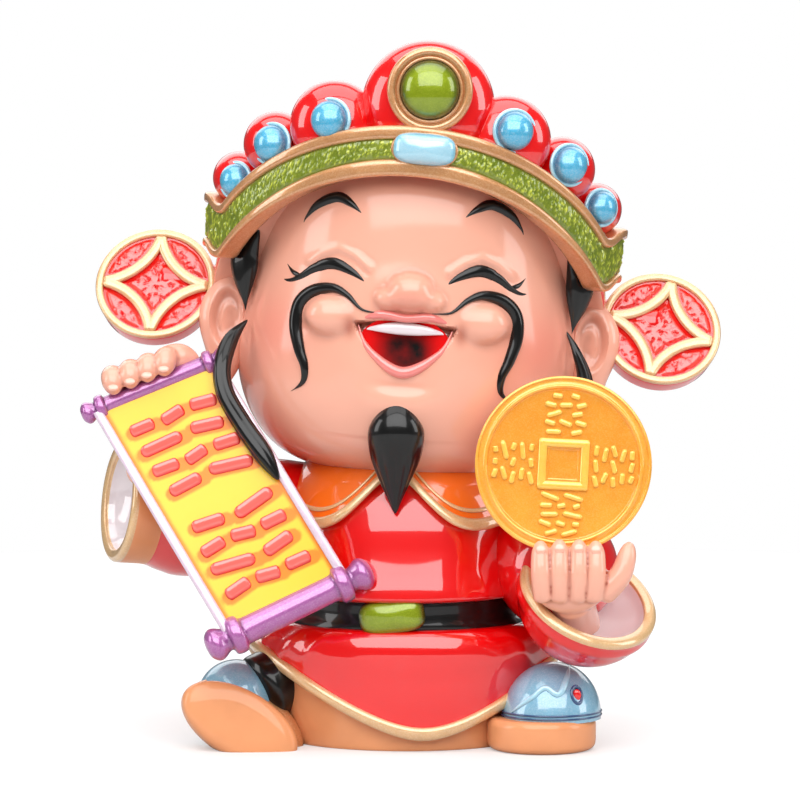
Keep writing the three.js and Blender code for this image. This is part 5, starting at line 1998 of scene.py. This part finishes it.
class FIGURE_OT_stage(bpy.types.Operator):
    """Makes the pale floor, the soft boxes and the camera"""

    bl_idname = "figure.stage"
    bl_label = "Stage"

    def execute(self, context):
        sizes = context.scene.figure_sizes
        self.floor(sizes.floor_radius)
        middle = Vector((0, 0, FIGURE_HEIGHT / 2))
        for name, place, size, power, target in SOFT_BOXES:
            self.soft_box(name, place, size, power, target or middle)
        self.sky(context)
        context.scene.view_settings.view_transform = "Standard"
        self.camera(context, sizes)
        return {"FINISHED"}

    def sky(self, context):
        """A white backdrop, which throws little light on the figure."""
        world = bpy.data.worlds.new("Studio")
        world.use_nodes = True
        background = world.node_tree.nodes["Background"]
        background.inputs["Color"].default_value = WHITE
        seen = node(world.node_tree, "ShaderNodeLightPath").outputs["Is Camera Ray"]
        strength = reckoned(world.node_tree, "MULTIPLY_ADD", seen, 1 - BACKDROP_LIGHT, BACKDROP_LIGHT)
        world.node_tree.links.new(strength, background.inputs["Strength"])
        context.scene.world = world

    def floor(self, radius):
        """A round of white paper that lies under the figure."""
        form = bmesh.new()
        bmesh.ops.create_circle(form, cap_ends=True, segments=96, radius=radius)
        mesh = bpy.data.meshes.new("floor")
        form.to_mesh(mesh)
        form.free()
        floor = bpy.data.objects.new("floor", mesh)
        paper = bpy.data.materials.new("Paper")
        paper.use_nodes = True
        shader = paper.node_tree.nodes["Principled BSDF"]
        shader.inputs["Base Color"].default_value = PAPER_GREY
        shader.inputs["Roughness"].default_value = 0.8
        shader.inputs["Emission Color"].default_value = WHITE
        seen = node(paper.node_tree, "ShaderNodeLightPath").outputs["Is Camera Ray"]
        glow = reckoned(paper.node_tree, "MULTIPLY", seen, FLOOR_GLOW)
        paper.node_tree.links.new(glow, shader.inputs["Emission Strength"])
        mesh.materials.append(paper)
        bpy.context.scene.collection.objects.link(floor)
        floor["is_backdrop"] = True

    def soft_box(self, name, place, size, power, target):
        light = bpy.data.lights.new(name, "AREA")
        light.shape = "RECTANGLE"
        light.size, light.size_y = size
        light.energy = power
        box = bpy.data.objects.new(name, light)
        box.location = place
        box.rotation_euler = (target - Vector(place)).to_track_quat("-Z", "Y").to_euler()
        bpy.context.scene.collection.objects.link(box)

    def camera(self, context, sizes):
        lens = bpy.data.cameras.new("Camera")
        lens.lens = FOCAL_LENGTH
        lens.sensor_width = SENSOR_WIDTH
        lens.shift_y = PICTURE_SHIFT
        lens.clip_start = CLIP_START
        eye = bpy.data.objects.new("Camera", lens)
        target = Vector((0, 0, FIGURE_HEIGHT / 2))
        tilt = sizes.eye_elevation
        eye.location = target + Vector((0, -math.cos(tilt), math.sin(tilt))) * sizes.eye_distance
        eye.rotation_euler = (target - eye.location).to_track_quat("-Z", "Y").to_euler()
        context.scene.collection.objects.link(eye)
        context.scene.camera = eye


class FIGURE_PT_sidebar(bpy.types.Panel):
    """Lists the makers of the figure's pieces in the sidebar"""

    bl_idname = "FIGURE_PT_sidebar"
    bl_label = "Figure"
    bl_space_type = "VIEW_3D"
    bl_region_type = "UI"
    bl_category = "Figure"

    def draw(self, context):
        for maker in MAKERS:
            self.layout.operator(maker.bl_idname)


MAKERS = (
    FIGURE_OT_head, FIGURE_OT_hair, FIGURE_OT_hat, FIGURE_OT_wings, FIGURE_OT_robe, FIGURE_OT_sleeves,
    FIGURE_OT_hands, FIGURE_OT_scroll, FIGURE_OT_coin, FIGURE_OT_shoes, FIGURE_OT_stage,
)
CLASSES = (FigurePaints, FigureSizes, *MAKERS, FIGURE_PT_sidebar)


def register():
    for made in CLASSES:
        bpy.utils.register_class(made)
    bpy.types.Scene.figure_paints = PointerProperty(type=FigurePaints)
    bpy.types.Scene.figure_sizes = PointerProperty(type=FigureSizes)


def unregister():
    del bpy.types.Scene.figure_sizes
    del bpy.types.Scene.figure_paints
    for made in reversed(CLASSES):
        bpy.utils.unregister_class(made)


def main():
    register()
    PAINTS["all"] = Paints()
    for maker in MAKERS:
        group, name = maker.bl_idname.split(".")
        getattr(getattr(bpy.ops, group), name)()
    boxes = {"cad": CAD_BOX, "visual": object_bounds()}
    {name: [list(corner) for corner in box] for name, box in boxes.items()}


if __name__ == "__main__":
    main()
